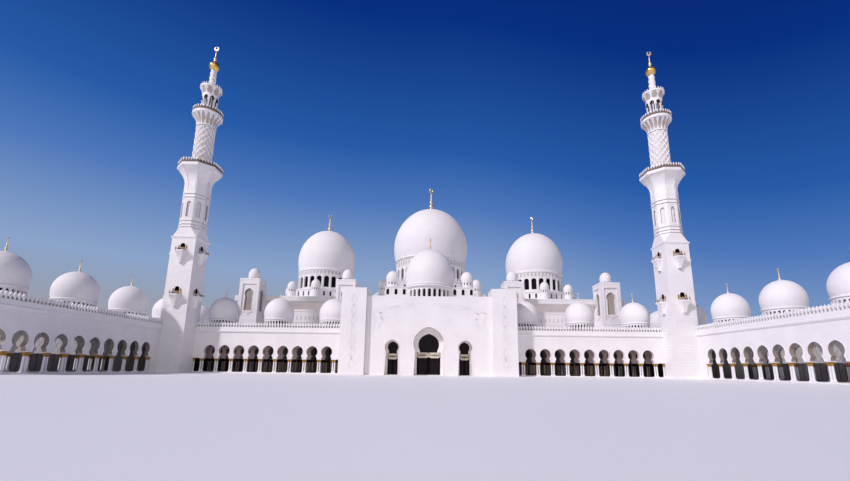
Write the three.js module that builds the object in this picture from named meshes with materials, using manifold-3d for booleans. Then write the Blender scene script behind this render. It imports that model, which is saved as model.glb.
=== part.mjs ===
// A white marble mosque seen from its court, as a 1:10 scale model.
// Millimetres, +Z up, +X to the right, +Y away from the court, Z = 0 on the court.
// One metre of the real building is 100 mm here.
import * as THREE from 'three';
import { mergeVertices } from 'three/addons/utils/BufferGeometryUtils.js';
import Module from 'manifold-3d';

const wasm = await Module();
wasm.setup();

// Joints between neighbouring pieces
const GAP = 0.3;
const OVERRUN = 50;
const LAP = 1;

// Plan: planes of the court, counted along Y
const COURT_FRONT = -7400;
const ARCADE_PLANE = -2100;
const PYLON_PLANE = -2540;
const PORTAL_PLANE = -2420;
const HALL_FRONT = 460;
const HALL_BACK = 7400;
const DOME_LINE = 3940;

// Plan: planes counted along X, mirrored left and right
const PORTAL_HALF = 1820;
const PYLON_OUTER = 2550;
const COURT_SIDE = 7570;
const HALL_HALF = 6800;

// Arcades
const BAY = 431;
const AISLES = 3;
const WALL = 100;
const FLOOR = 30;
const CAPITAL_FOOT = 335;
const CAPITAL_TOP = 425;
const EAVES = 1170;
const ROOF_TOP = 1240;
const PARAPET_TOP = 1340;
const FRONT_ARCH_START = 3000;
const FRONT_ARCHES = 9;
const SIDE_ARCH_START = -3220;
const SIDE_ARCHES = 10;
const ARCADE_DEPTH = AISLES * BAY;

// Horseshoe arch over each bay
const ARCH_RADIUS = 162;
const ARCH_CENTRE = 636;
const ARCH_APEX = 806;
const ARCH_NECK = 112;
const ARCH_FOOT = 150;

// Minarets
const MINARET_X = 7285;
const MINARET_Y = -2330;
const MINARET_HALF = 355;

// Hall
const HALL_EAVES = 2500;
const HALL_ROOF = 2580;
const CORNICE = 200;
const HALL_WALL = 120;

// Colours and finishes
const MARBLE = new THREE.Color(0.86, 0.84, 0.86);
const GOLD = new THREE.Color(0.8, 0.58, 0.2);
const DARK_GLASS = new THREE.Color(0.03, 0.03, 0.04);
const BRONZE = new THREE.Color(0.13, 0.1, 0.08);

function marble() {
  return new THREE.MeshStandardMaterial({ color: MARBLE, roughness: 0.55, metalness: 0 });
}

function gold() {
  return new THREE.MeshStandardMaterial({ color: GOLD, roughness: 0.3, metalness: 1 });
}

function darkGlass() {
  return new THREE.MeshStandardMaterial({ color: DARK_GLASS, roughness: 0.1, metalness: 0 });
}

function bronze() {
  return new THREE.MeshStandardMaterial({ color: BRONZE, roughness: 0.4, metalness: 0.8 });
}

// Turns a closed three.js geometry into a solid, with its faces pointing out
function solid(geometry) {
  geometry.deleteAttribute('normal');
  geometry.deleteAttribute('uv');
  const merged = mergeVertices(geometry, 0.001);
  const points = Float32Array.from(merged.attributes.position.array);
  const corners = merged.index.array;
  const kept = [];
  let volume = 0;
  const a = new THREE.Vector3();
  const b = new THREE.Vector3();
  const c = new THREE.Vector3();
  for (let i = 0; i < corners.length; i += 3) {
    const [p, q, r] = [corners[i], corners[i + 1], corners[i + 2]];
    if (p === q || q === r || r === p) continue;
    kept.push([p, q, r]);
    a.fromArray(points, 3 * p);
    b.fromArray(points, 3 * q);
    c.fromArray(points, 3 * r);
    volume += a.dot(b.cross(c));
  }
  const facing = kept.flatMap(([p, q, r]) => (volume > 0 ? [p, q, r] : [p, r, q]));
  const mesh = new wasm.Mesh({ numProp: 3, vertProperties: points, triVerts: Uint32Array.from(facing) });
  return new wasm.Manifold(mesh);
}

function join(pieces) {
  return pieces.reduce((whole, piece) => whole.add(piece));
}

function cut(body, cutters) {
  return cutters.reduce((rest, cutter) => rest.subtract(cutter), body);
}

// A block between two corners, given in any order along each axis
function block(x0, x1, y0, y1, z0, z1) {
  const geometry = new THREE.BoxGeometry(Math.abs(x1 - x0), Math.abs(y1 - y0), Math.abs(z1 - z0));
  geometry.translate((x0 + x1) / 2, (y0 + y1) / 2, (z0 + z1) / 2);
  return solid(geometry);
}

// A profile of [radius, height] points turned about the vertical axis.
// With a flat side to the front, the middle of one facet faces the court.
function turned(profile, sides, flatToFront = true) {
  const points = profile.map(([radius, height]) => new THREE.Vector2(radius, height));
  points.push(points[0].clone());
  const geometry = new THREE.LatheGeometry(points, sides, flatToFront ? Math.PI / sides : 0);
  geometry.rotateX(Math.PI / 2);
  return solid(geometry);
}

// An upright outline of [x, z] points drawn out along Y
function drawn(outline, y0, y1) {
  const shape = new THREE.Shape(outline.map(([x, z]) => new THREE.Vector2(x, z)));
  const geometry = new THREE.ExtrudeGeometry(shape, { depth: y1 - y0, bevelEnabled: false });
  geometry.rotateX(Math.PI / 2);
  geometry.translate(0, y1, 0);
  return solid(geometry);
}

function mesh(name, body, material, place = [0, 0, 0]) {
  const { vertProperties, triVerts } = body.getMesh();
  const geometry = new THREE.BufferGeometry();
  geometry.setAttribute('position', new THREE.BufferAttribute(vertProperties, 3));
  geometry.setIndex(new THREE.BufferAttribute(triVerts, 1));
  geometry.computeVertexNormals();
  const piece = new THREE.Mesh(geometry, material);
  piece.name = name;
  piece.position.set(...place);
  return piece;
}

const SIDES = [['left', -1], ['right', 1]];

// The upper half of a horseshoe arch, from its left neck over the apex to its right neck.
function archHead(radius, centre, apex, neck, steps) {
  const start = -Math.acos(neck / radius);
  const end = THREE.MathUtils.degToRad(68);
  const left = [];
  for (let i = 0; i <= steps; i += 1) {
    const angle = start + ((end - start) * i) / steps;
    left.push([-radius * Math.cos(angle), centre + radius * Math.sin(angle)]);
  }
  const right = left.map(([x, z]) => [-x, z]).reverse();
  return [...left, [0, apex], ...right];
}

// One bay's opening above its capitals: the splayed foot, the neck and the horseshoe
function bayOpening(steps) {
  const head = archHead(ARCH_RADIUS, ARCH_CENTRE, ARCH_APEX, ARCH_NECK, steps);
  return [[-ARCH_FOOT, CAPITAL_TOP - OVERRUN], [-ARCH_FOOT, CAPITAL_TOP], ...head,
    [ARCH_FOOT, CAPITAL_TOP], [ARCH_FOOT, CAPITAL_TOP - OVERRUN]];
}

// A plain arched light with a two-sided pointed head
function pointedLight(width, sill, spring, apex) {
  return [[-width / 2, sill], [width / 2, sill], [width / 2, spring], [0, apex], [-width / 2, spring]];
}

// Two slim shafts side by side under one shared capital
const SHAFT_RADIUS = 25;
const SHAFT_SPACING = 29;
const IMPOST_HALF = 62;

function columnPair() {
  const shaft = turned([[0, FLOOR - 5], [SHAFT_RADIUS, FLOOR - 5], [SHAFT_RADIUS, CAPITAL_FOOT + 5],
    [0, CAPITAL_FOOT + 5]], 5);
  const capital = drawn([[-SHAFT_SPACING - SHAFT_RADIUS, CAPITAL_FOOT], [SHAFT_SPACING + SHAFT_RADIUS,
    CAPITAL_FOOT],
    [IMPOST_HALF, CAPITAL_TOP + 5], [-IMPOST_HALF, CAPITAL_TOP + 5]], -45, 45);
  return join([shaft.translate([-SHAFT_SPACING, 0, 0]), shaft.translate([SHAFT_SPACING, 0, 0]), capital]);
}

function singleColumn() {
  return turned([[0, FLOOR - 5], [40, FLOOR - 5], [40, CAPITAL_FOOT], [68, CAPITAL_TOP + 5],
    [0, CAPITAL_TOP + 5]], 4);
}

// A straight row of arches along X, from start to end, with its columns on a strip of floor.
// supports are the places of the columns, arches those of the arch axes.
function archRow({ start, end, supports, arches, column, steps, strip }) {
  const wall = block(start, end, 0, WALL, CAPITAL_TOP, EAVES);
  const opening = drawn(bayOpening(steps), -OVERRUN, WALL + OVERRUN);
  const openings = arches.map((x) => opening.translate([x, 0, 0]));
  const columns = supports.map((x) => column.translate([x, WALL / 2, 0]));
  const floor = block(start, end, strip[0], strip[1], 0, FLOOR);
  return join([cut(wall, openings), floor, ...columns]);
}

function places(count, start, spacing) {
  return Array.from({ length: count }, (unused, i) => start + i * spacing);
}

// Front arcades, between the portal and the minarets
const FRONT_START = PYLON_OUTER + GAP;
const FRONT_END = MINARET_X - MINARET_HALF - GAP;

function frontArcade() {
  return archRow({
    start: FRONT_START,
    end: FRONT_END,
    supports: places(FRONT_ARCHES + 1, FRONT_ARCH_START - BAY / 2, BAY),
    arches: places(FRONT_ARCHES, FRONT_ARCH_START, BAY),
    column: columnPair(),
    steps: 3,
    strip: [0, WALL],
  });
}

// The inner rows of the front arcades, their floor and the closed wall behind them
function frontInnerArcade() {
  const minaretRear = MINARET_Y + MINARET_HALF - ARCADE_PLANE + GAP;
  const floor = cut(block(FRONT_START, COURT_SIDE - GAP, WALL + GAP, ARCADE_DEPTH, 0, FLOOR),
    [block(FRONT_END, COURT_SIDE, 0, minaretRear, -OVERRUN, FLOOR + OVERRUN)]);
  const backWall = block(FRONT_START, COURT_SIDE - GAP, ARCADE_DEPTH - WALL, ARCADE_DEPTH, 0, EAVES);
  const row = archRow({
    start: FRONT_START,
    end: FRONT_END,
    supports: places(FRONT_ARCHES + 1, FRONT_ARCH_START - BAY / 2, BAY),
    arches: places(FRONT_ARCHES, FRONT_ARCH_START, BAY),
    column: singleColumn(),
    steps: 1,
    strip: [0, WALL],
  }).translate([0, BAY, 0]);
  return join([floor, backWall, row]);
}

// Side arcades, along the two sides of the court
const SIDE_START = COURT_FRONT;
const SIDE_END = MINARET_Y - MINARET_HALF - GAP;
const ARCADE_REAR = ARCADE_PLANE + ARCADE_DEPTH;

// The blank wall between the last arch of the court row and the minaret
const BLANK_START = SIDE_ARCH_START + 0.65 * BAY;

// The side arcades run on past the corner, beside the hall
const WING_REAR = ARCADE_REAR + 4 * BAY;
const COURT_ARCHES = places(SIDE_ARCHES, SIDE_ARCH_START, -BAY);
const WING_ARCHES = places(4, SIDE_ARCH_START + 6 * BAY, BAY);

function sideCourtRow() {
  const blank = block(BLANK_START, SIDE_END, 0, WALL, FLOOR - 5, CAPITAL_TOP + 5);
  return join([sideRow(SIDE_END, COURT_ARCHES, columnPair(), 3), blank]);
}

// The places half a bay to each side of every arch, each of them once
function besideArches(arches) {
  return [...new Set(arches.flatMap((x) => [x - BAY / 2, x + BAY / 2]))];
}

function sideRow(end, arches, column, steps) {
  return archRow({ start: SIDE_START, end, supports: besideArches(arches), arches, column, steps,
    strip: [0, WALL] });
}

// Turns a row laid along X so that it runs along Y, with its depth along X
function alongY(row, x, side) {
  const upright = row.rotate([0, 0, 90]).mirror([1, 0, 0]);
  return side > 0 ? upright.translate([x, 0, 0]) : upright.mirror([1, 0, 0]).translate([-x, 0, 0]);
}

// A hollow onion dome: ring at its foot, widest a little above, slightly pointed
function domeProfile(radius, rise, thickness, rings, innerRings) {
  const widest = 0.46 * radius;
  const foot = 0.94 * radius;
  const outer = [];
  for (let i = 0; i <= rings; i += 1) {
    const t = i / rings;
    const low = Math.asin(Math.min(1, foot / radius));
    const angle = THREE.MathUtils.lerp(-(Math.PI / 2 - low), Math.PI / 2, t);
    const height = angle < 0 ? widest * (1 + Math.sin(angle) / Math.cos(low)) : widest
      + (rise - widest) * Math.sin(angle) ** 1.08;
    outer.push([radius * Math.cos(angle), height]);
  }
  outer[outer.length - 1] = [0, rise];
  const inner = [];
  for (let i = 0; i <= innerRings; i += 1) {
    const angle = (Math.PI / 2) * (1 - i / innerRings);
    inner.push([(foot - thickness) * Math.cos(angle), (rise - thickness * 1.3) * Math.sin(angle)]);
  }
  inner[0] = [0, rise - thickness * 1.3];
  return [...outer, ...inner];
}

// Arcade dome on its drum, standing on the roof slab
const ARCADE_DOME_RADIUS = 445;
const ARCADE_DOME_RISE = 670;
const ARCADE_DRUM_TOP = 1650;
const ARCADE_DOME_SIDES = 10;

function arcadeDome() {
  const drumRadius = 0.94 * ARCADE_DOME_RADIUS;
  const inside = drumRadius - 45;
  const shell = domeProfile(ARCADE_DOME_RADIUS, ARCADE_DOME_RISE, 45, 3, 2);
  const foot = [[inside, ROOF_TOP - 20], [drumRadius, ROOF_TOP - 20]];
  const raised = shell.slice(0, -1).map(([r, z]) => [r, z + ARCADE_DRUM_TOP]);
  return turned([...foot, ...raised], ARCADE_DOME_SIDES);
}

const FRONT_DOMES = places(3, FRONT_ARCH_START, 4 * BAY);
const SIDE_DOMES = places(3, SIDE_ARCH_START, -4 * BAY);
const DOME_SETBACK = ARCADE_DEPTH / 2;
const ARCADE_EYE = 0.94 * ARCADE_DOME_RADIUS - 45;

function eye(x, y, radius, sides, z0, z1) {
  return turned([[0, z0], [radius, z0], [radius, z1], [0, z1]], sides).translate([x, y, 0]);
}

// Roof of a front arcade: slab, cornice, parapet and its three domes
function frontRoof(side) {
  const slab = block(FRONT_START, COURT_SIDE - GAP, ARCADE_PLANE - 15, ARCADE_REAR, EAVES + GAP, ROOF_TOP);
  const rear = block(FRONT_START, HALL_HALF, ARCADE_REAR - 1, HALL_FRONT - GAP, EAVES + GAP, ROOF_TOP);
  const parapet = block(FRONT_START, COURT_SIDE - GAP, ARCADE_PLANE - 15, ARCADE_PLANE + 25, ROOF_TOP - 1,
    PARAPET_TOP);
  const minaret = block(MINARET_X - MINARET_HALF - GAP, COURT_SIDE + OVERRUN, ARCADE_PLANE - OVERRUN,
    MINARET_Y + MINARET_HALF + GAP, EAVES - OVERRUN, PARAPET_TOP + OVERRUN);
  const towers = [TOWER_INNER, TOWER_OUTER].map((x) => block(x - TOWER_HALF - GAP, x + TOWER_HALF + GAP,
    TOWER_Y - TOWER_HALF - GAP, TOWER_Y + TOWER_HALF + GAP + OVERRUN, EAVES - OVERRUN, ROOF_TOP + OVERRUN));
  const rearWall = block(HALL_HALF - HALL_WALL, HALL_HALF, ARCADE_REAR + GAP, HALL_FRONT - GAP, 0,
    EAVES + 10);
  const domeY = ARCADE_PLANE + DOME_SETBACK;
  const eyes = FRONT_DOMES.map((x) => eye(x, domeY, ARCADE_EYE, ARCADE_DOME_SIDES, EAVES - OVERRUN,
    ROOF_TOP + OVERRUN));
  const domes = FRONT_DOMES.map((x) => arcadeDome().translate([x, domeY, 0]));
  const roof = join([cut(join([slab, rear, parapet, rearWall]), [minaret, ...towers, ...eyes]), ...domes]);
  return side > 0 ? roof : roof.mirror([1, 0, 0]);
}

// Roof of a side arcade: slab, both parapets, its three domes, the corner dome and the dome beside the hall
function sideRoof(side) {
  const outerEdge = COURT_SIDE + ARCADE_DEPTH;
  const slab = block(COURT_SIDE - 15, outerEdge + 15, COURT_FRONT, WING_REAR, EAVES + GAP, ROOF_TOP);
  const inner = block(COURT_SIDE - 15, COURT_SIDE + 25, COURT_FRONT, WING_REAR, ROOF_TOP - 1, PARAPET_TOP);
  const outer = block(outerEdge - 25, outerEdge + 15, COURT_FRONT, WING_REAR, ROOF_TOP - 1, PARAPET_TOP);
  const frontEdge = block(COURT_SIDE - 15, outerEdge + 15, COURT_FRONT, COURT_FRONT + 40, ROOF_TOP - 1,
    PARAPET_TOP);
  const rearEdge = block(COURT_SIDE + GAP, outerEdge + 15, WING_REAR - 40, WING_REAR, ROOF_TOP - 1,
    PARAPET_TOP);
  const minaret = block(COURT_SIDE - OVERRUN, MINARET_X + MINARET_HALF + GAP, MINARET_Y - MINARET_HALF - GAP,
    MINARET_Y + MINARET_HALF + GAP, EAVES - OVERRUN, PARAPET_TOP + OVERRUN);
  const corner = block(COURT_SIDE - OVERRUN, COURT_SIDE, ARCADE_PLANE - 15 - GAP, WING_REAR + OVERRUN,
    EAVES - OVERRUN, PARAPET_TOP + OVERRUN);
  const open = block(COURT_SIDE - OVERRUN, COURT_SIDE + 26, MINARET_Y + MINARET_HALF, ARCADE_REAR - 41,
    ROOF_TOP, PARAPET_TOP + OVERRUN);
  const domeX = COURT_SIDE + DOME_SETBACK;
  const spots = [...SIDE_DOMES, ARCADE_PLANE + DOME_SETBACK, ARCADE_PLANE + DOME_SETBACK + 4 * BAY];
  const eyes = spots.map((y) => eye(domeX, y, ARCADE_EYE, ARCADE_DOME_SIDES, EAVES - OVERRUN,
    ROOF_TOP + OVERRUN));
  const domes = spots.map((y) => arcadeDome().translate([domeX, y, 0]));
  const slabs = cut(join([slab, inner, outer, frontEdge, rearEdge]), [minaret, corner, open, ...eyes]);
  const roof = join([slabs, ...domes]);
  return side > 0 ? roof : roof.mirror([1, 0, 0]);
}

// The rest of a side arcade: its floor, its outer row, the closed corner behind the minaret,
// and the walls of the part beside the hall
function sideFloor() {
  const floor = block(SIDE_START, WING_REAR, WALL + GAP, ARCADE_DEPTH - WALL - GAP, 0, FLOOR);
  const rear = block(MINARET_Y, WING_REAR, 0, WALL + GAP + LAP, 0, FLOOR);
  const minaret = block(MINARET_Y - MINARET_HALF - GAP, MINARET_Y + MINARET_HALF + GAP, -GAP,
    MINARET_X + MINARET_HALF + GAP - COURT_SIDE, -OVERRUN, FLOOR + OVERRUN);
  return cut(join([floor, rear]), [minaret]);
}

function sideOuterArcade() {
  const row = sideRow(WING_REAR, [...COURT_ARCHES, ...WING_ARCHES], singleColumn(), 2);
  const inner = -ARCADE_DEPTH + WALL + GAP;
  const back = block(WING_REAR - WALL, WING_REAR, inner, WALL, FLOOR + GAP, EAVES);
  const hallSide = block(ARCADE_REAR - WALL, WING_REAR, inner, inner + WALL, FLOOR + GAP, EAVES);
  const pier = block(SIDE_END, ARCADE_REAR, 0, WALL, FLOOR - 5, CAPITAL_TOP + 5);
  return join([row, back, hallSide, pier]);
}

// Lantern towers: square, hollow, with one tall arched window in each face and a small dome
const TOWER_HALF = 345;
const TOWER_INNER = 2950;
const TOWER_OUTER = 6310;
const TOWER_Y = HALL_FRONT - GAP - TOWER_HALF;
const TOWER_TOP = 3230;
const TOWER_WINDOW = 305;
const TOWER_CAP_RADIUS = 205;

function lanternTower() {
  const shaft = block(-TOWER_HALF, TOWER_HALF, -TOWER_HALF, TOWER_HALF, 0, TOWER_TOP);
  const inside = block(-TOWER_HALF + 70, TOWER_HALF - 70, -TOWER_HALF + 70, TOWER_HALF - 70, -1,
    TOWER_TOP - 70);
  const light = drawn([[-TOWER_WINDOW / 2, 2090], ...archHead(TOWER_WINDOW / 2, 2700, 2880, 125, 3),
    [TOWER_WINDOW / 2, 2090]], -TOWER_HALF - OVERRUN, TOWER_HALF + OVERRUN);
  const cap = turret(TOWER_TOP - 10, TOWER_TOP + 80, TOWER_CAP_RADIUS);
  return join([cut(shaft, [inside, light, light.rotate([0, 0, 90])]), cap]);
}

// A small solid dome, for turrets and towers
const TURRET_RADIUS = 215;

function smallDomeProfile(radius, foot) {
  return [[radius, 0.45 * radius], [0.8 * radius, 1.2 * radius], [0, 1.72 * radius]].map(([r, z]) => [r,
    z + foot]);
}

// Hall
function hallRoof() {
  const slab = block(-HALL_HALF - CORNICE, HALL_HALF + CORNICE, HALL_FRONT - CORNICE, HALL_BACK,
    HALL_EAVES + GAP, HALL_ROOF);
  const towers = [TOWER_INNER, TOWER_OUTER, -TOWER_INNER, -TOWER_OUTER].map((x) => block(x - TOWER_HALF - GAP,
    x + TOWER_HALF + GAP, TOWER_Y - TOWER_HALF, TOWER_Y + TOWER_HALF + GAP, HALL_EAVES - OVERRUN,
    HALL_ROOF + OVERRUN));
  const entrance = block(-ENTRANCE_HALF - GAP, ENTRANCE_HALF + GAP, HALL_FRONT - CORNICE - OVERRUN,
    HALL_FRONT + GAP,
    HALL_EAVES - OVERRUN, HALL_ROOF + OVERRUN);
  const eyes = [eye(0, DOME_LINE, MAIN_DRUM - 100, 8, HALL_EAVES - OVERRUN, HALL_ROOF + OVERRUN),
    ...SIDES.map(([name, side]) => eye(side * SIDE_DOME_X, DOME_LINE, SIDE_BASE_EYE, 8,
      HALL_EAVES - OVERRUN, HALL_ROOF + OVERRUN))];
  return cut(slab, [...towers, entrance, ...eyes]);
}

const REAR_LIGHTS = 8;

function hallBackWall() {
  const wall = block(-HALL_HALF, HALL_HALF, HALL_BACK - CORNICE - HALL_WALL, HALL_BACK - CORNICE, 0,
    HALL_EAVES);
  const light = drawn(pointedLight(260, 500, 1400, 1620), HALL_BACK - CORNICE - HALL_WALL - OVERRUN,
    HALL_BACK - CORNICE + OVERRUN);
  const spacing = (2 * HALL_HALF) / REAR_LIGHTS;
  const lights = places(REAR_LIGHTS, -HALL_HALF + spacing / 2, spacing).map((x) => light.translate([x, 0,
    0]));
  return cut(wall, lights);
}

function hallSideWall() {
  return block(HALL_HALF - HALL_WALL, HALL_HALF, HALL_FRONT + HALL_WALL + GAP,
    HALL_BACK - CORNICE - HALL_WALL - GAP, 0, HALL_EAVES);
}

const PASSAGE_HALF = 1700;
const PASSAGE_TOP = 2000;

function hallFrontWall() {
  const wall = block(-HALL_HALF, HALL_HALF, HALL_FRONT, HALL_FRONT + HALL_WALL, 0, HALL_EAVES);
  const passage = block(-PASSAGE_HALF, PASSAGE_HALF, HALL_FRONT - OVERRUN, HALL_FRONT + HALL_WALL + OVERRUN,
    -OVERRUN, PASSAGE_TOP);
  return cut(wall, [passage]);
}

function hallFloor() {
  const inner = HALL_HALF - HALL_WALL - GAP;
  return block(-inner, inner, HALL_FRONT + HALL_WALL + GAP, HALL_BACK - CORNICE - HALL_WALL - GAP, 0, FLOOR);
}

// Great domes over the hall
const MAIN_RADIUS = 1675;
const MAIN_DRUM = 1540;
const MAIN_RING = 4850;
const MAIN_RISE = 2590;
const MAIN_LIGHTS = 28;
const SIDE_DOME_X = 4720;
const SIDE_RADIUS = 1270;
const SIDE_DRUM = 1194;
const SIDE_RING = 4330;
const SIDE_RISE = 2030;
const SIDE_LIGHTS = 24;

// A drum with one light in each of its facets
function drum(radius, thickness, lights, foot, top, width, sill, apex) {
  const tube = turned([[radius - thickness, foot], [radius, foot], [radius, top], [radius - thickness,
    top]], lights);
  const light = drawn(pointedLight(width, sill, apex - width * 0.55, apex), -radius - OVERRUN,
    -radius + thickness + 2 * OVERRUN);
  const cutters = places(lights, 0, 360 / lights).map((angle) => light.rotate([0, 0, angle]));
  return cut(tube, cutters);
}

function mainDrum() {
  return drum(MAIN_DRUM, 100, MAIN_LIGHTS, MAIN_BASE_HEAD + GAP, MAIN_RING, 190, 3880, 4440);
}

function mainDome() {
  return turned(domeProfile(MAIN_RADIUS, MAIN_RISE, 100, 7, 3).map(([r, z]) => [r, z + MAIN_RING + GAP]),
    MAIN_LIGHTS);
}

function sideDome() {
  const walls = drum(SIDE_DRUM, 90, SIDE_LIGHTS, SIDE_BASE_TOP + GAP, SIDE_RING, 220, 3540, 4020);
  const shell = turned(domeProfile(SIDE_RADIUS, SIDE_RISE, 90, 6, 2).map(([r, z]) => [r,
    z + SIDE_RING - LAP]), SIDE_LIGHTS);
  return join([walls, shell]);
}

// A finial: three gilded balls of falling size on a tapering stem, with a crescent
function finial(foot, height) {
  const h = height;
  const profile = [[0, 0], [0.07 * h, 0], [0.04 * h, 0.08 * h], [0.11 * h, 0.2 * h], [0.04 * h, 0.33 * h],
    [0.07 * h, 0.44 * h], [0.02 * h, 0.56 * h], [0.012 * h, 0.8 * h], [0, 0.8 * h]];
  const stem = turned(profile, 6);
  const moon = [];
  const points = 6;
  for (let i = 0; i <= points; i += 1) {
    const angle = THREE.MathUtils.degToRad(-235 + (290 * i) / points);
    moon.push([0.125 * h * Math.cos(angle), 0.875 * h + 0.125 * h * Math.sin(angle)]);
  }
  for (let i = points - 1; i >= 1; i -= 1) {
    const angle = THREE.MathUtils.degToRad(-235 + (290 * i) / points);
    moon.push([0.09 * h * Math.cos(angle), 0.9 * h + 0.09 * h * Math.sin(angle)]);
  }
  const crescent = drawn(moon, -0.012 * h, 0.012 * h);
  return join([stem, crescent]).translate([0, 0, foot + GAP]);
}

// Octagonal base of a side dome, its points on the axes, with a domed turret at each point
const SIDE_BASE_RADIUS = 1600;
const SIDE_BASE_TOP = 3400;
const SIDE_BASE_EYE = 1150;
const SIDE_TURRET_RADIUS = 195;

function sideDomeBase() {
  const wall = 90;
  const ring = turned([[SIDE_BASE_RADIUS - wall, HALL_ROOF + GAP], [SIDE_BASE_RADIUS, HALL_ROOF + GAP],
    [SIDE_BASE_RADIUS, SIDE_BASE_TOP], [SIDE_BASE_EYE, SIDE_BASE_TOP], [SIDE_BASE_EYE, SIDE_BASE_TOP - 80],
    [SIDE_BASE_RADIUS - wall, SIDE_BASE_TOP - 80]], 8, false);
  const light = drawn(pointedLight(75, 3110, 3250, 3300), -SIDE_BASE_RADIUS - OVERRUN,
    -SIDE_BASE_RADIUS + 2 * wall + 2 * OVERRUN);
  const face = join([-265, 0, 265].map((x) => light.translate([x, 0, 0])));
  const lights = places(8, 22.5, 45).map((angle) => face.rotate([0, 0, angle]));
  const turrets = places(8, 0, 45).map((angle) => turret(HALL_ROOF + GAP, SIDE_BASE_TOP + 30,
    SIDE_TURRET_RADIUS)
    .translate([0, -SIDE_BASE_RADIUS, 0]).rotate([0, 0, angle]));
  return join([cut(ring, lights), ...turrets]);
}

function turret(foot, neck, radius) {
  return turned([[0, foot], [0.95 * radius, foot], [0.95 * radius, neck], ...smallDomeProfile(radius,
    neck)], 6);
}

// Main dome base: a wide low octagon with four domed turrets, and a taller one inside it
const MAIN_BASE_RADIUS = 2800;
const MAIN_BASE_TOP = 3150;
const MAIN_BASE_HEAD = 3800;

function mainDomeBase() {
  const wall = 110;
  const inner = MAIN_DRUM - 100;
  const profile = [[MAIN_BASE_RADIUS - wall, HALL_ROOF + GAP], [MAIN_BASE_RADIUS, HALL_ROOF + GAP],
    [MAIN_BASE_RADIUS, MAIN_BASE_TOP], [1900, MAIN_BASE_TOP], [1900, MAIN_BASE_HEAD], [inner, MAIN_BASE_HEAD],
    [inner, MAIN_BASE_HEAD - 100], [1900 - wall, MAIN_BASE_HEAD - 100], [1900 - wall, MAIN_BASE_TOP - 90],
    [MAIN_BASE_RADIUS - wall, MAIN_BASE_TOP - 90]];
  const ring = turned(profile, 8, false);
  const turrets = [45, 135, 225, 315].map((angle) => turret(HALL_ROOF + GAP, MAIN_BASE_TOP + 240,
    TURRET_RADIUS)
    .translate([0, -MAIN_BASE_RADIUS + 150, 0]).rotate([0, 0, angle]));
  return join([ring, ...turrets]);
}

// Portal: wall with three deep arches, and a thinner wall behind it that holds the doors
const PORTAL_DEPTH = 300;
const PORTAL_TOP = 2280;
const PYLON_TOP = 2500;
const PYLON_DEPTH = 740;
const DOOR_WALL = 100;
const THRESHOLD = 15;
const SIDE_DOOR_X = 1050;
const PORTAL_ROOF = 2150;

const MAIN_ARCH = { jamb: 420, neck: 385, radius: 440, centre: 905, apex: 1385 };
const SMALL_ARCH = { jamb: 205, neck: 170, radius: 207, centre: 780, apex: 1003 };
const MAIN_LIGHT = { neck: 255, radius: 307, centre: 880, apex: 1210, sill: 655 };
const SMALL_LIGHT = { neck: 118, radius: 155, centre: 800, apex: 968, sill: 615 };
const MAIN_DOOR = { half: 345, top: 500 };
const SMALL_DOOR = { half: 150, top: 450 };

function portalArch({ jamb, neck, radius, centre, apex }, y0, y1) {
  return drawn([[-jamb, -OVERRUN], ...archHead(radius, centre, apex, neck, 5), [jamb, -OVERRUN]], y0, y1);
}

function fanlightOutline({ neck, radius, centre, apex, sill }, inset = 0) {
  const head = archHead(radius - inset, centre, apex - inset * 1.3, neck - inset, 5);
  return [[-neck + inset, sill + inset], ...head, [neck - inset, sill + inset]];
}

function portalWall() {
  const wall = block(-PORTAL_HALF + GAP, PORTAL_HALF - GAP, PORTAL_PLANE, PORTAL_PLANE + PORTAL_DEPTH, 0,
    PORTAL_TOP);
  const [y0, y1] = [PORTAL_PLANE - OVERRUN, PORTAL_PLANE + PORTAL_DEPTH + OVERRUN];
  const cutters = [portalArch(MAIN_ARCH, y0, y1),
    ...SIDES.map(([name, side]) => portalArch(SMALL_ARCH, y0, y1).translate([side * SIDE_DOOR_X, 0, 0]))];
  return cut(wall, cutters);
}

const DOOR_PLANE = PORTAL_PLANE + PORTAL_DEPTH + GAP;
const LEAF_PLANE = DOOR_PLANE + 47;
const GLASS_PLANE = DOOR_PLANE + 40;

function doorWall() {
  const wall = block(-PORTAL_HALF + GAP, PORTAL_HALF - GAP, DOOR_PLANE, DOOR_PLANE + DOOR_WALL, 0,
    PORTAL_ROOF - GAP);
  const [y0, y1] = [DOOR_PLANE - OVERRUN, DOOR_PLANE + DOOR_WALL + OVERRUN];
  const opening = (door, light, x) => [block(x - door.half, x + door.half, y0, y1, THRESHOLD, door.top),
    drawn(fanlightOutline(light), y0, y1).translate([x, 0, 0])];
  const floor = block(-PORTAL_HALF + GAP, PORTAL_HALF - GAP, DOOR_PLANE + DOOR_WALL - 1, HALL_FRONT - GAP,
    0, THRESHOLD);
  const openings = [...opening(MAIN_DOOR, MAIN_LIGHT, 0),
    ...SIDES.flatMap(([name, side]) => opening(SMALL_DOOR, SMALL_LIGHT, side * SIDE_DOOR_X))];
  return join([cut(wall, openings), floor]);
}

function fanlight(light) {
  return drawn(fanlightOutline(light, GAP), 0, 20);
}

// Door leaves: each turns on a pivot pin at its jamb, and swings into the building
const LEAF_THICKNESS = 14;
const LEAF_CLEARANCE = 5;
const JAMB_CLEARANCE = 8;
const PIVOT_RADIUS = 4;

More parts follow.
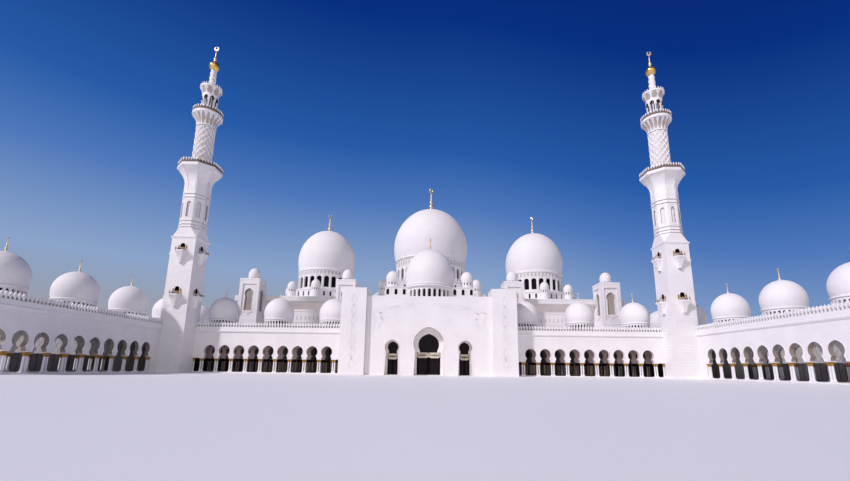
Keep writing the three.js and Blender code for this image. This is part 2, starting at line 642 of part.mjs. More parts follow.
function doorLeaf(door, side) {
  const half = LEAF_THICKNESS / 2;
  const foot = THRESHOLD + LEAF_CLEARANCE;
  const head = door.top - LEAF_CLEARANCE;
  const jamb = side * (door.half - JAMB_CLEARANCE);
  const leaf = block(side * LEAF_CLEARANCE / 2, jamb, -half, half, foot, head);
  const pin = turned([[0, THRESHOLD + GAP], [PIVOT_RADIUS, THRESHOLD + GAP], [PIVOT_RADIUS, door.top - GAP],
    [0, door.top - GAP]], 8);
  return join([leaf, pin.translate([jamb - side * half, 0, 0])]);
}

// A pylon beside the portal, with the portal block's side wall behind it
function portalSide() {
  const pylon = block(PORTAL_HALF, PYLON_OUTER, PYLON_PLANE, PYLON_PLANE + PYLON_DEPTH, 0, PYLON_TOP);
  const wall = block(PYLON_OUTER - HALL_WALL, PYLON_OUTER, PYLON_PLANE + PYLON_DEPTH - 1, HALL_FRONT - GAP,
    0, PORTAL_ROOF - GAP);
  return join([pylon, wall]);
}

// Entrance block on the portal's roof, with its windows and two small domes
const ENTRANCE_HALF = 1470;
const ENTRANCE_FRONT = -1100;
const ENTRANCE_TOP = 2820;
const ENTRANCE_DOME_Y = -730;
const ENTRANCE_RADIUS = 820;
const ENTRANCE_DRUM = 770;
const ENTRANCE_RING = 2860;
const ENTRANCE_RISE = 1320;
const ENTRANCE_LIGHTS = 28;
const PORTAL_SLAB = 60;

function entranceBlock() {
  const slabTop = PORTAL_ROOF + PORTAL_SLAB;
  const slabFront = block(-PORTAL_HALF + GAP, PORTAL_HALF - GAP, DOOR_PLANE, PYLON_PLANE + PYLON_DEPTH + 1,
    PORTAL_ROOF, slabTop);
  const slab = block(-PYLON_OUTER, PYLON_OUTER, PYLON_PLANE + PYLON_DEPTH + GAP, HALL_FRONT - GAP,
    PORTAL_ROOF, slabTop);
  const outside = block(-ENTRANCE_HALF, ENTRANCE_HALF, ENTRANCE_FRONT, HALL_FRONT - GAP, slabTop - 5,
    ENTRANCE_TOP);
  const inside = block(-ENTRANCE_HALF + 70, ENTRANCE_HALF - 70, ENTRANCE_FRONT + 70, HALL_FRONT + OVERRUN,
    slabTop, ENTRANCE_TOP - 60);
  const light = drawn(pointedLight(100, 2550, 2700, 2755), ENTRANCE_FRONT - OVERRUN,
    ENTRANCE_FRONT + 70 + OVERRUN);
  const lights = [830, 1100, 1375].flatMap((x) => [light.translate([x, 0, 0]), light.translate([-x, 0, 0])]);
  const drumWell = eye(0, ENTRANCE_DOME_Y, ENTRANCE_DRUM + 30, 12, slabTop, ENTRANCE_TOP + OVERRUN);
  const floorEye = eye(0, ENTRANCE_DOME_Y, ENTRANCE_DRUM - 60, 12, PORTAL_ROOF - OVERRUN, ENTRANCE_TOP);
  const turrets = [-1250, 1250].map((x) => turret(ENTRANCE_TOP - 5, ENTRANCE_TOP + 220,
    TURRET_RADIUS).translate([x, -800, 0]));
  const towers = [-TOWER_INNER, TOWER_INNER].map((x) => block(x - TOWER_HALF - GAP, x + TOWER_HALF + GAP,
    TOWER_Y - TOWER_HALF - GAP, HALL_FRONT + OVERRUN, PORTAL_ROOF - OVERRUN, ENTRANCE_TOP + OVERRUN));
  return cut(join([slabFront, slab, cut(outside, [inside, ...lights]), ...turrets]), [drumWell, floorEye,
    ...towers]);
}

function entranceDome() {
  const foot = PORTAL_ROOF + PORTAL_SLAB + GAP;
  const walls = drum(ENTRANCE_DRUM, 60, ENTRANCE_LIGHTS, foot, ENTRANCE_RING, 100, 2350, 2700);
  const shell = turned(domeProfile(ENTRANCE_RADIUS, ENTRANCE_RISE, 60, 6, 2).map(([r, z]) => [r,
    z + ENTRANCE_RING - LAP]),
    ENTRANCE_LIGHTS);
  return join([walls, shell]);
}

// Minarets: square foot, octagon with the lower gallery, round shaft with the upper gallery, lantern
const OCTAGON_RADIUS = 379;
const SPLAY_FOOT = 3950;
const SPLAY_TOP = 4240;
const MINARET_WALL = 80;
const MINARET_WELL = 270;
const LOWER_DECK = 6230;
const LOWER_GALLERY = 638;
const UPPER_DECK = 8150;
const UPPER_GALLERY = 450;

function minaretBase() {
  const half = MINARET_HALF;
  const shaft = block(-half, half, -half, half, 0, SPLAY_TOP);
  const inner = half - MINARET_WALL;
  const inside = block(-inner, inner, -inner, inner, -1, SPLAY_FOOT - MINARET_WALL);
  const well = eye(0, 0, MINARET_WELL, 8, SPLAY_FOOT - MINARET_WALL - 1, SPLAY_TOP + OVERRUN);
  const lean = THREE.MathUtils.radToDeg(Math.atan2(half * (Math.SQRT2 - 1), SPLAY_TOP - SPLAY_FOOT));
  const corner = block(0, half, -half, half, -half, half).rotate([0, -lean, 0])
    .translate([half * (Math.SQRT2 + 1) / 2, 0, (SPLAY_FOOT + SPLAY_TOP) / 2]);
  const corners = places(4, 45, 90).map((angle) => corner.rotate([0, 0, angle]));
  const niche = drawn(pointedLight(140, 0, 190, 260), -half - OVERRUN, -inner + OVERRUN);
  const niches = [2180, 3480].flatMap((z) => places(4, 0, 90).map((angle) => niche.translate([0, 0, z])
    .rotate([0, 0, angle])));
  return cut(shaft, [inside, well, ...corners, ...niches]);
}

function minaretOctagon() {
  const inside = OCTAGON_RADIUS - MINARET_WALL;
  const rail = LOWER_GALLERY - 20;
  const profile = [[inside, SPLAY_TOP + GAP], [OCTAGON_RADIUS, SPLAY_TOP + GAP], [OCTAGON_RADIUS, 5690],
    [LOWER_GALLERY, LOWER_DECK - 60], [LOWER_GALLERY, LOWER_DECK + 100], [rail, LOWER_DECK + 100], [rail,
    LOWER_DECK],
    [inside, LOWER_DECK]];
  const light = drawn(pointedLight(90, 4580, 4970, 5070), -OCTAGON_RADIUS - OVERRUN,
    -OCTAGON_RADIUS + MINARET_WALL + OVERRUN);
  const lights = places(4, 0, 90).map((angle) => light.rotate([0, 0, angle]));
  return cut(turned(profile, 8), lights);
}

function minaretShaft() {
  const rail = UPPER_GALLERY - 18;
  const profile = [[200, LOWER_DECK + GAP], [285, LOWER_DECK + GAP], [285, 7770], [UPPER_GALLERY,
    UPPER_DECK - 50],
    [UPPER_GALLERY, UPPER_DECK + 90], [rail, UPPER_DECK + 90], [rail, UPPER_DECK], [200, UPPER_DECK]];
  return turned(profile, 12);
}

const LANTERN_TOP = 9830;

function minaretLantern() {
  const core = turned([[0, UPPER_DECK + GAP], [150, UPPER_DECK + GAP], [150, 8850], [0, 8850]], 8);
  const kerb = turned([[0, UPPER_DECK + GAP], [250, UPPER_DECK + GAP], [250, 8300], [0, 8300]], 8);
  const posts = places(8, 22.5, 45).map((angle) => turned([[0, 8290], [30, 8290], [30, 8750], [0, 8750]], 4)
    .translate([0, -212, 0]).rotate([0, 0, angle]));
  const head = turned([[0, 8730], [245, 8730], [245, 8850], [335, 9100], [335, 9180], [315, 9180], [315,
    9120],
    [115, 9120], [115, LANTERN_TOP - 30], [0, LANTERN_TOP]], 10);
  return join([core, kerb, ...posts, head]);
}

function minaretFinial() {
  const foot = LANTERN_TOP + GAP;
  const bulb = turned([[0, foot], [70, foot], [160, foot + 160], [120, foot + 280], [40, foot + 370], [52,
    foot + 450],
    [24, foot + 530], [14, foot + 790], [0, foot + 790]], 8);
  const ring = [];
  const points = 6;
  const centre = foot + 860;
  for (let i = 0; i <= points; i += 1) {
    const angle = THREE.MathUtils.degToRad(-235 + (290 * i) / points);
    ring.push([76 * Math.cos(angle), centre + 76 * Math.sin(angle)]);
  }
  for (let i = points - 1; i >= 1; i -= 1) {
    const angle = THREE.MathUtils.degToRad(-235 + (290 * i) / points);
    ring.push([54 * Math.cos(angle), centre + 15 + 54 * Math.sin(angle)]);
  }
  return join([bulb, drawn(ring, -10, 10)]);
}

const group = new THREE.Group();

// Hall
group.add(
  mesh('hall_floor', hallFloor(), marble()),
  mesh('hall_front_wall', hallFrontWall(), marble()),
  mesh('hall_back_wall', hallBackWall(), marble()),
  mesh('hall_roof', hallRoof(), marble()),
  mesh('main_dome_base', mainDomeBase(), marble(), [0, DOME_LINE, 0]),
  mesh('main_drum', mainDrum(), marble(), [0, DOME_LINE, 0]),
  mesh('main_dome', mainDome(), marble(), [0, DOME_LINE, 0]),
  mesh('main_finial', finial(MAIN_RING + MAIN_RISE + GAP, 1150), gold(), [0, DOME_LINE, 0]),
  mesh('entrance_block', entranceBlock(), marble()),
  mesh('entrance_dome', entranceDome(), marble(), [0, ENTRANCE_DOME_Y, 0]),
  mesh('entrance_finial', finial(ENTRANCE_RING + ENTRANCE_RISE - LAP, 440), gold(), [0, ENTRANCE_DOME_Y, 0]),
  mesh('portal_wall', portalWall(), marble()),
  mesh('door_wall', doorWall(), marble()),
  mesh('main_fanlight', fanlight(MAIN_LIGHT), darkGlass(), [0, GLASS_PLANE, 0]),
);

for (const [name, side] of SIDES) {
  const mirrored = (body) => (side > 0 ? body : body.mirror([1, 0, 0]));
  group.add(
    mesh(`hall_${name}_wall`, mirrored(hallSideWall()), marble()),
    mesh(`${name}_dome_base`, sideDomeBase(), marble(), [side * SIDE_DOME_X, DOME_LINE, 0]),
    mesh(`${name}_dome`, sideDome(), marble(), [side * SIDE_DOME_X, DOME_LINE, 0]),
    mesh(`${name}_finial`, finial(SIDE_RING + SIDE_RISE - LAP, 880), gold(), [side * SIDE_DOME_X,
      DOME_LINE, 0]),
    mesh(`portal_${name}_side`, mirrored(portalSide()), marble()),
    mesh(`${name}_fanlight`, fanlight(SMALL_LIGHT), darkGlass(), [side * SIDE_DOOR_X, GLASS_PLANE, 0]),
    mesh(`inner_${name}_tower`, lanternTower(), marble(), [side * TOWER_INNER, TOWER_Y, 0]),
    mesh(`outer_${name}_tower`, lanternTower(), marble(), [side * TOWER_OUTER, TOWER_Y, 0]),
    mesh(`front_${name}_arcade`, mirrored(frontArcade()), marble(), [0, ARCADE_PLANE, 0]),
    mesh(`front_${name}_inner_arcade`, mirrored(frontInnerArcade()), marble(), [0, ARCADE_PLANE, 0]),
    mesh(`front_${name}_roof`, frontRoof(side), marble()),
    mesh(`side_${name}_arcade`, alongY(sideCourtRow(), COURT_SIDE, side), marble()),
    mesh(`side_${name}_floor`, alongY(sideFloor(), COURT_SIDE, side), marble()),
    mesh(`side_${name}_outer_arcade`, alongY(sideOuterArcade(), COURT_SIDE + ARCADE_DEPTH - WALL, side),
      marble()),
    mesh(`side_${name}_roof`, sideRoof(side), marble()),
    mesh(`${name}_minaret_base`, minaretBase(), marble(), [side * MINARET_X, MINARET_Y, 0]),
    mesh(`${name}_minaret_octagon`, minaretOctagon(), marble(), [side * MINARET_X, MINARET_Y, 0]),
    mesh(`${name}_minaret_shaft`, minaretShaft(), marble(), [side * MINARET_X, MINARET_Y, 0]),
    mesh(`${name}_minaret_lantern`, minaretLantern(), marble(), [side * MINARET_X, MINARET_Y, 0]),
    mesh(`${name}_minaret_finial`, minaretFinial(), gold(), [side * MINARET_X, MINARET_Y, 0]),
    mesh(`main_${name}_door`, doorLeaf(MAIN_DOOR, side), bronze(), [0, LEAF_PLANE, 0]),
  );
  for (const [leaf, hand] of SIDES) {
    group.add(mesh(`${name}_door_${leaf}_leaf`, doorLeaf(SMALL_DOOR, hand), bronze(),
      [side * SIDE_DOOR_X, LEAF_PLANE, 0]));
  }
}

export default group;
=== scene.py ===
# Dresses the model of a white marble mosque: smooth domes and arches, mouldings, merlons, reliefs, gilding.
# Sizes are those of the real building in metres; SCALE brings them to the 1:10 model.
import math
from math import cos, pi, radians, sin

import bpy
import numpy as np
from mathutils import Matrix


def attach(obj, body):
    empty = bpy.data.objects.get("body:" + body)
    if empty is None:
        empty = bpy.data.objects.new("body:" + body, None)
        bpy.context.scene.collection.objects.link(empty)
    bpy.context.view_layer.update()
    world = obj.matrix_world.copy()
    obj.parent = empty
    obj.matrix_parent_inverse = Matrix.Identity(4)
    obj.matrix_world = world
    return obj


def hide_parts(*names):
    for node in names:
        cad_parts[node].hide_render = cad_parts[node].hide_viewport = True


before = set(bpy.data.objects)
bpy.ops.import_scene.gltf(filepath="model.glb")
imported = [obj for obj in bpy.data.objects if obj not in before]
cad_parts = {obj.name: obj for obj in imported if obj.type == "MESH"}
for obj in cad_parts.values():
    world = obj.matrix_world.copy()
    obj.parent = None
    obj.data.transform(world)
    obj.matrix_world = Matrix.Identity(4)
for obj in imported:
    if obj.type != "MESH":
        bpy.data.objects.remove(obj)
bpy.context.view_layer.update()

SCALE = 0.1
SIDES = (("left", -1), ("right", 1))
TURN = 2 * pi
GAP = 0.003
WALLS = "marble_wall"
TRIM = "marble_trim"


# Shapes

class Shape:
    """Points, and faces grouped by material."""

    def __init__(self, points=(), faces=(), material=None):
        self.points = []
        self.faces = []
        self.count = 0
        if len(points):
            self.add(points, faces, material)

    def add(self, points, faces, material):
        """faces is a list of arrays, each of faces with the same number of corners."""
        for group in faces:
            group = np.asarray(group, int)
            if group.size:
                self.faces.append((group + self.count, material))
        self.points.append(np.asarray(points, float))
        self.count += len(points)
        return self

    def all_points(self):
        return np.vstack(self.points)

    def join(self, *others):
        for other in others:
            self.faces += [(group + self.count, material) for group, material in other.faces]
            self.points.append(other.all_points())
            self.count += other.count
        return self

    def at(self, *places):
        """Copies of this shape, one for each 4 by 4 matrix."""
        points = np.c_[self.all_points(), np.ones(self.count)]
        result = Shape(np.vstack([(points @ spot.T)[:, :3] for spot in places]))
        for group, material in self.faces:
            copies = [(group[:, ::-1] if np.linalg.det(spot[:3, :3]) < 0 else group) + i * self.count
                      for i, spot in enumerate(places)]
            result.faces.append((np.vstack(copies), material))
        return result

    def bent(self, radius):
        """Bends a shape laid along X round the vertical axis; its front, at y = 0, lies on the radius."""
        points = self.all_points()
        angle = points[:, 0] / radius
        reach = radius - points[:, 1]
        result = Shape(np.c_[reach * np.sin(angle), -reach * np.cos(angle), points[:, 2]])
        result.faces = list(self.faces)
        return result


def place(x=0.0, y=0.0, z=0.0, turn=0.0, size=1.0, flip=False, lean=0.0):
    """A matrix: mirror in X, scale, lean about X, turn about Z (degrees), then move."""
    a = radians(turn)
    b = radians(lean)
    spin = np.array([[cos(a), -sin(a), 0], [sin(a), cos(a), 0], [0, 0, 1]])
    tip = np.array([[1, 0, 0], [0, cos(b), -sin(b)], [0, sin(b), cos(b)]])
    matrix = np.eye(4)
    matrix[:3, :3] = spin @ tip @ np.diag([-size if flip else size, size, size])
    matrix[:3, 3] = (x, y, z)
    return matrix


def around(count, radius=0.0, first=0.0):
    """Places round a circle; what faces -Y at the origin faces outwards there."""
    turns = [first + 360.0 * i / count for i in range(count)]
    return [place(radius * sin(radians(turn)), -radius * cos(radians(turn)), 0, turn) for turn in turns]


def grid(rings, columns, closed):
    """Quads between rings of points, ring by ring."""
    i, j = np.meshgrid(np.arange(rings - 1), np.arange(columns if closed else columns - 1), indexing="ij")
    low, high = i * columns, (i + 1) * columns
    right = (j + 1) % columns
    return np.stack([low + j, low + right, high + right, high + j], axis=-1).reshape(-1, 4)


def turned(profile, sides, material=TRIM, ripple=None):
    """A profile of (radius, height) turned about the vertical axis. Radius 0 closes an end.
    ripple(angle) scales the radius of each column."""
    angles = (np.arange(sides) + 0.5) * TURN / sides - pi / 2
    scale = np.ones(sides) if ripple is None else ripple(angles)
    body = [(r, z) for r, z in profile if r > 0]
    points = [(r * s * cos(a), r * s * sin(a), z) for r, z in body for a, s in zip(angles, scale)]
    faces = [grid(len(body), sides, True)]
    this = np.arange(sides)
    following = (this + 1) % sides
    top = (len(body) - 1) * sides
    for (r, z), edge in ((profile[0], (following, this)), (profile[-1], (top + this, top + following))):
        if r <= 0:
            faces.append(np.stack([*edge, np.full(sides, len(points))], axis=-1))
            points.append((0, 0, z))
    return Shape(points, faces, material)


def upright(rims):
    """Points of several outlines of (x, z), each at its own y."""
    return np.vstack([np.c_[rim[:, 0], np.full(len(rim), y), rim[:, 1]] for rim, y in rims])


def drawn(outline, y0, y1, material=TRIM, edge=0.0):
    """An upright outline of (x, z), counter-clockwise from the front, drawn out from y0 to y1.
    edge slopes the front face's rim by that much."""
    flat = np.array(outline, float)
    n = len(flat)
    rims = [(flat, y0), (flat, y1)]
    if edge:
        rims = [(inset(flat, edge), y0), (flat, y0 + edge), (flat, y1)]
    i = np.arange(n)
    j = (i + 1) % n
    sides = [np.stack([k * n + i, (k + 1) * n + i, (k + 1) * n + j, k * n + j], axis=-1)
             for k in range(len(rims) - 1)]
    return Shape(upright(rims), [i[None], (len(rims) * n - 1 - i)[None], *sides], material)


def block(x0, x1, y0, y1, z0, z1, material=TRIM, edge=0.0):
    return drawn([(x0, z0), (x1, z0), (x1, z1), (x0, z1)], y0, y1, material, edge)


def mitres(points, closed, least=0.0):
    """For each point of a path, the move to its left that shifts both of its edges by one.
    least keeps the moves at sharp corners short."""
    ahead = np.roll(points, -1, axis=0) - points
    behind = points - np.roll(points, 1, axis=0)
    if not closed:
        ahead[-1] = behind[-1]
        behind[0] = ahead[0]
    ahead /= np.linalg.norm(ahead, axis=1)[:, None]
    behind /= np.linalg.norm(behind, axis=1)[:, None]
    left = np.c_[-(ahead + behind)[:, 1], (ahead + behind)[:, 0]]
    return left / np.maximum((left * np.c_[-behind[:, 1], behind[:, 0]]).sum(axis=1), least)[:, None]


def inset(outline, amount):
    """Moves a closed counter-clockwise outline inwards."""
    points = np.asarray(outline, float)
    return points + mitres(points, True, 0.35) * amount


def band(path, width, y0, y1, material=TRIM, closed=True):
    """A raised band outside a path that runs clockwise from the front: inner rim, front face, outer rim."""
    points = np.array(path, float)
    out = mitres(points, closed, 0.5)
    shares = ((0, y1), (0.12, y0), (0.88, y0), (1, y1))
    return Shape(upright([(points + share * width * out, y) for share, y in shares]),
                 [grid(4, len(points), closed)], material)


def moulding(corners, profile, material=TRIM, closed=True):
    """Sweeps a profile of (reach, height), from its foot to its top, along corners in plan, counter-clockwise
    from above with the outside on the right. Corners are mitred."""
    points = np.array(corners, float)
    out = -mitres(points, closed)
    rings = [np.c_[points + out * reach, np.full(len(points), z)] for reach, z in profile]
    return Shape(np.vstack(rings), [grid(len(profile), len(points), closed)], material)


def course(corners, low, high, reach, material=TRIM, slope=0.05):
    """A flat string course with sloping edges."""
    return moulding(corners, [(0, low), (reach, low + slope), (reach, high - slope), (0, high)], material)


CLOCKWISE = [("x", False), ("z", True), ("x", True), ("z", False)]


def border(path, centre, x0, x1, z0, z1, open_foot):
    """For each point of a path round an opening, the point straight behind it on the rectangle around."""
    cx, cz = centre
    result = []
    for x, z in path:
        dx, dz = x - cx, z - cz
        if open_foot and dz <= 0:
            result.append((x1 if dx > 0 else x0, z, ("x", dx > 0)))
            continue
        tx = ((x1 if dx > 0 else x0) - cx) / dx if abs(dx) > 1e-9 else math.inf
        tz = ((z1 if dz > 0 else z0) - cz) / dz if abs(dz) > 1e-9 else math.inf
        t = min(tx, tz)
        result.append((cx + dx * t, cz + dz * t, ("x", dx > 0) if tx < tz else ("z", dz > 0)))
    return result


def pierced(path, centre, x0, x1, z0, z1, y0, y1, material=WALLS, reveal=None, back=None, open_foot=False):
    """A rectangle of wall with an opening. path runs clockwise from the front: up the left, down the right.
    With open_foot the opening reaches down to z0; else the path is closed. back may name a rear material."""
    outer = border(path, centre, x0, x1, z0, z1, open_foot)
    n = len(path)
    links = [(i, (i + 1) % n) for i in range(n - 1 if open_foot else n)]
    corners = [(x0, z1), (x1, z1), (x1, z0), (x0, z0)]
    loops = (path, [(x, z) for x, z, side in outer], corners)
    points = [(x, y, z) for loop in loops for y in (y0, y1) for x, z in loop]
    front = {}
    rear = {}
    for i, j in links:
        k = CLOCKWISE.index(outer[i][2])
        chain = []
        while CLOCKWISE[k] != outer[j][2]:
            chain.insert(0, 4 * n + k)
            k = (k + 1) % 4
        behind = [corner + 4 for corner in reversed(chain)]
        front.setdefault(len(chain), []).append((i, j, 2 * n + j, *chain, 2 * n + i))
        rear.setdefault(len(chain), []).append((n + j, n + i, 3 * n + i, *behind, 3 * n + j))
    shape = Shape(points, front.values(), material)
    if back:
        shape.add(points, rear.values(), back)
    return shape.add(points[:2 * n], [[(j, i, n + i, n + j) for i, j in links]], reveal or material)


def polygon(radius, sides, first=0.5):
    angles = [(i + first) * TURN / sides - pi / 2 for i in range(sides)]
    return [(radius * cos(a), radius * sin(a)) for a in angles]


def rectangle(x0, x1, y0, y1):
    return [(x0, y0), (x1, y0), (x1, y1), (x0, y1)]


def spaced(start, end, spacing):
    """Evenly spaced places between two numbers, about spacing apart, in the middle of their shares."""
    count = max(1, round((end - start) / spacing))
    return [start + (end - start) / count * (i + 0.5) for i in range(count)]


def mirrored(half, apex):
    return half + [(0.0, apex)] + [(-x, z) for x, z in reversed(half)]


def horseshoe(foot, foot_z, neck, radius, centre, apex, steps=12, flare=1):
    """Left foot, flared impost, neck, round head with a soft point at its apex, and down again."""
    neck_z = centre - math.sqrt(radius ** 2 - neck ** 2)
    left = [(-(foot - (foot - neck) * (i / flare) ** 2.2), foot_z + (neck_z - foot_z) * i / flare)
            for i in range(flare)]
    start = -math.acos(neck / radius)
    for i in range(steps):
        a = start + (pi / 2 - start) * i / steps
        lift = (apex - centre - radius) * (1 - cos(a)) ** 3 if a > 0 else 0.0
        left.append((-radius * cos(a), centre + radius * sin(a) + lift))
    return mirrored(left, apex)


def pointed(width, sill, spring, apex, steps=5):
    """A closed arched light, clockwise from its lower left corner."""
    turns = [i / steps * pi / 2 for i in range(steps)]
    head = [(-width / 2 * cos(a) ** 0.8, spring + (apex - spring) * sin(a) ** 1.15) for a in turns]
    return mirrored([(-width / 2, sill)] + head, apex)


def dome(radius, rise, foot, rings, sides):
    """The CAD dome, with more rings: widest some way up, drawn in at its foot, softly pointed."""
    widest = 0.46 * radius
    tuck = math.asin(0.94)
    profile = []
    for i in range(rings):
        angle = -(pi / 2 - tuck) + (pi - tuck) * i / rings
        if angle < 0:
            height = widest * (1 + sin(angle) / cos(tuck))
        else:
            height = widest + (rise - widest) * sin(angle) ** 1.08
        profile.append((radius * cos(angle), foot + height))
    return turned(profile + [(0.0, foot + rise)], sides, "marble_dome")


def ring(radius, reach, low, high, sides, below=()):
    """A rounded string course on a drum, above a profile that may lie below it."""
    middle, half = (low + high) / 2, (high - low) / 2
    round_edge = [(radius + reach * sin(pi * i / 6), middle - half * cos(pi * i / 6)) for i in range(7)]
    return turned([*below, *round_edge], sides)


# Materials: each is made of nodes, in the model's own metres

def node(tree, kind, inputs=(), output=0, **settings):
    """Adds a node; each input gets a number, a colour or a link. Returns one of its outputs."""
    made = tree.nodes.new("ShaderNode" + kind)
    for name, value in settings.items():
        setattr(made, name, value)
    for name, value in dict(inputs).items():
        if isinstance(value, bpy.types.NodeSocket):
            tree.links.new(value, made.inputs[name])
        else:
            made.inputs[name].default_value = value
    return made.outputs[output]


def noise(tree, vector, scale, detail, rough=0.55, distortion=0.0):
    return node(tree, "TexNoise", {"Vector": vector, "Scale": scale, "Detail": detail, "Roughness": rough,
                                   "Distortion": distortion}, "Fac")


def ramp(tree, value, stops):
    colour = node(tree, "ValToRGB", {0: value})
    elements = colour.node.color_ramp.elements
    while len(elements) < len(stops):
        elements.new(0.5)
    for element, (position, shade) in zip(elements, stops):
        element.position = position
        element.color = (*shade, 1.0)
    return colour


def mix(tree, kind, factor, first, second):
    return node(tree, "Mix", {0: factor, 6: first, 7: second}, 2, data_type="RGBA", blend_type=kind)


def bump(tree, height, strength, distance, **more):
    return node(tree, "Bump", {"Height": height, "Strength": strength, "Distance": distance, **more})


def spread(tree, value, low, high):
    return node(tree, "MapRange", {"Value": value, "To Min": low, "To Max": high})


def wall_coordinates(tree, position):
    """Position as (along the wall, up), whichever way the wall faces."""
    split = node(tree, "SeparateXYZ", {0: position}).node.outputs
    normal = node(tree, "NewGeometry", output="True Normal")
    sideways = node(tree, "Math", {0: node(tree, "SeparateXYZ", {0: normal})}, operation="ABSOLUTE")
    steep = node(tree, "Math", {0: sideways, 1: 0.7}, operation="GREATER_THAN")
    along = node(tree, "Mix", {0: steep, 2: split["X"], 3: split["Y"]})
    return node(tree, "CombineXYZ", {"X": along, "Y": split["Z"]})


def marble(tree, light, shade, roughness, veins, slabs=None):
    """White marble with soft clouds and thin veins. slabs is the width and height between joints, if any."""
    position = node(tree, "TexCoord", output="Object")
    clouds = ramp(tree, noise(tree, position, 2.2, 6.0, 0.6, 0.4), [(0.3, shade), (0.62, light)])
    lines = ramp(tree, noise(tree, position, 5.5, 8.0, 0.7, 2.2),
                 [(0.47, (1, 1, 1)), (0.5, (0.72, 0.71, 0.75)), (0.53, (1, 1, 1))])
    colour = mix(tree, "MULTIPLY", veins, clouds, lines)
    normal = bump(tree, noise(tree, position, 60.0, 3.0), 0.12, 0.002)
    if slabs:
        sizes = {"Brick Width": slabs[0] * SCALE, "Row Height": slabs[1] * SCALE, "Mortar Size": 0.0012,
                 "Mortar Smooth": 0.4, "Scale": 1.0}
        colours = {"Color1": (1, 1, 1, 1), "Color2": (0.955, 0.95, 0.96, 1), "Mortar": (0.7, 0.69, 0.72, 1)}
        bricks = node(tree, "TexBrick", {"Vector": wall_coordinates(tree, position), **sizes, **colours}).node
        colour = mix(tree, "MULTIPLY", 0.35, colour, bricks.outputs["Color"])
        normal = bump(tree, bricks.outputs["Fac"], 0.35, 0.001, Normal=normal)
        normal.node.invert = True
    return {"Base Color": colour, "Normal": normal, "Specular IOR Level": 0.3,
            "Roughness": spread(tree, noise(tree, position, 14.0, 3.0), roughness - 0.08, roughness + 0.1)}


def metal(tree, light, dark, roughness, metallic=1.0, grain_size=30.0, gloss=0.5, painted_glow=0.0):
    """Metal, or glass where metallic is 0. A glow above 0 makes it shine on its own: painted light."""
    position = node(tree, "TexCoord", output="Object")
    grain = noise(tree, position, grain_size, 5.0, 0.6)
    return {"Base Color": ramp(tree, grain, [(0.3, dark), (0.65, light)]), "Metallic": metallic,
            "Roughness": spread(tree, grain, roughness, roughness + 0.15),
            "Normal": bump(tree, noise(tree, position, grain_size * 4, 2.0), 0.15, 0.001),
            "Specular IOR Level": gloss, "Emission Color": (*light, 1), "Emission Strength": painted_glow}


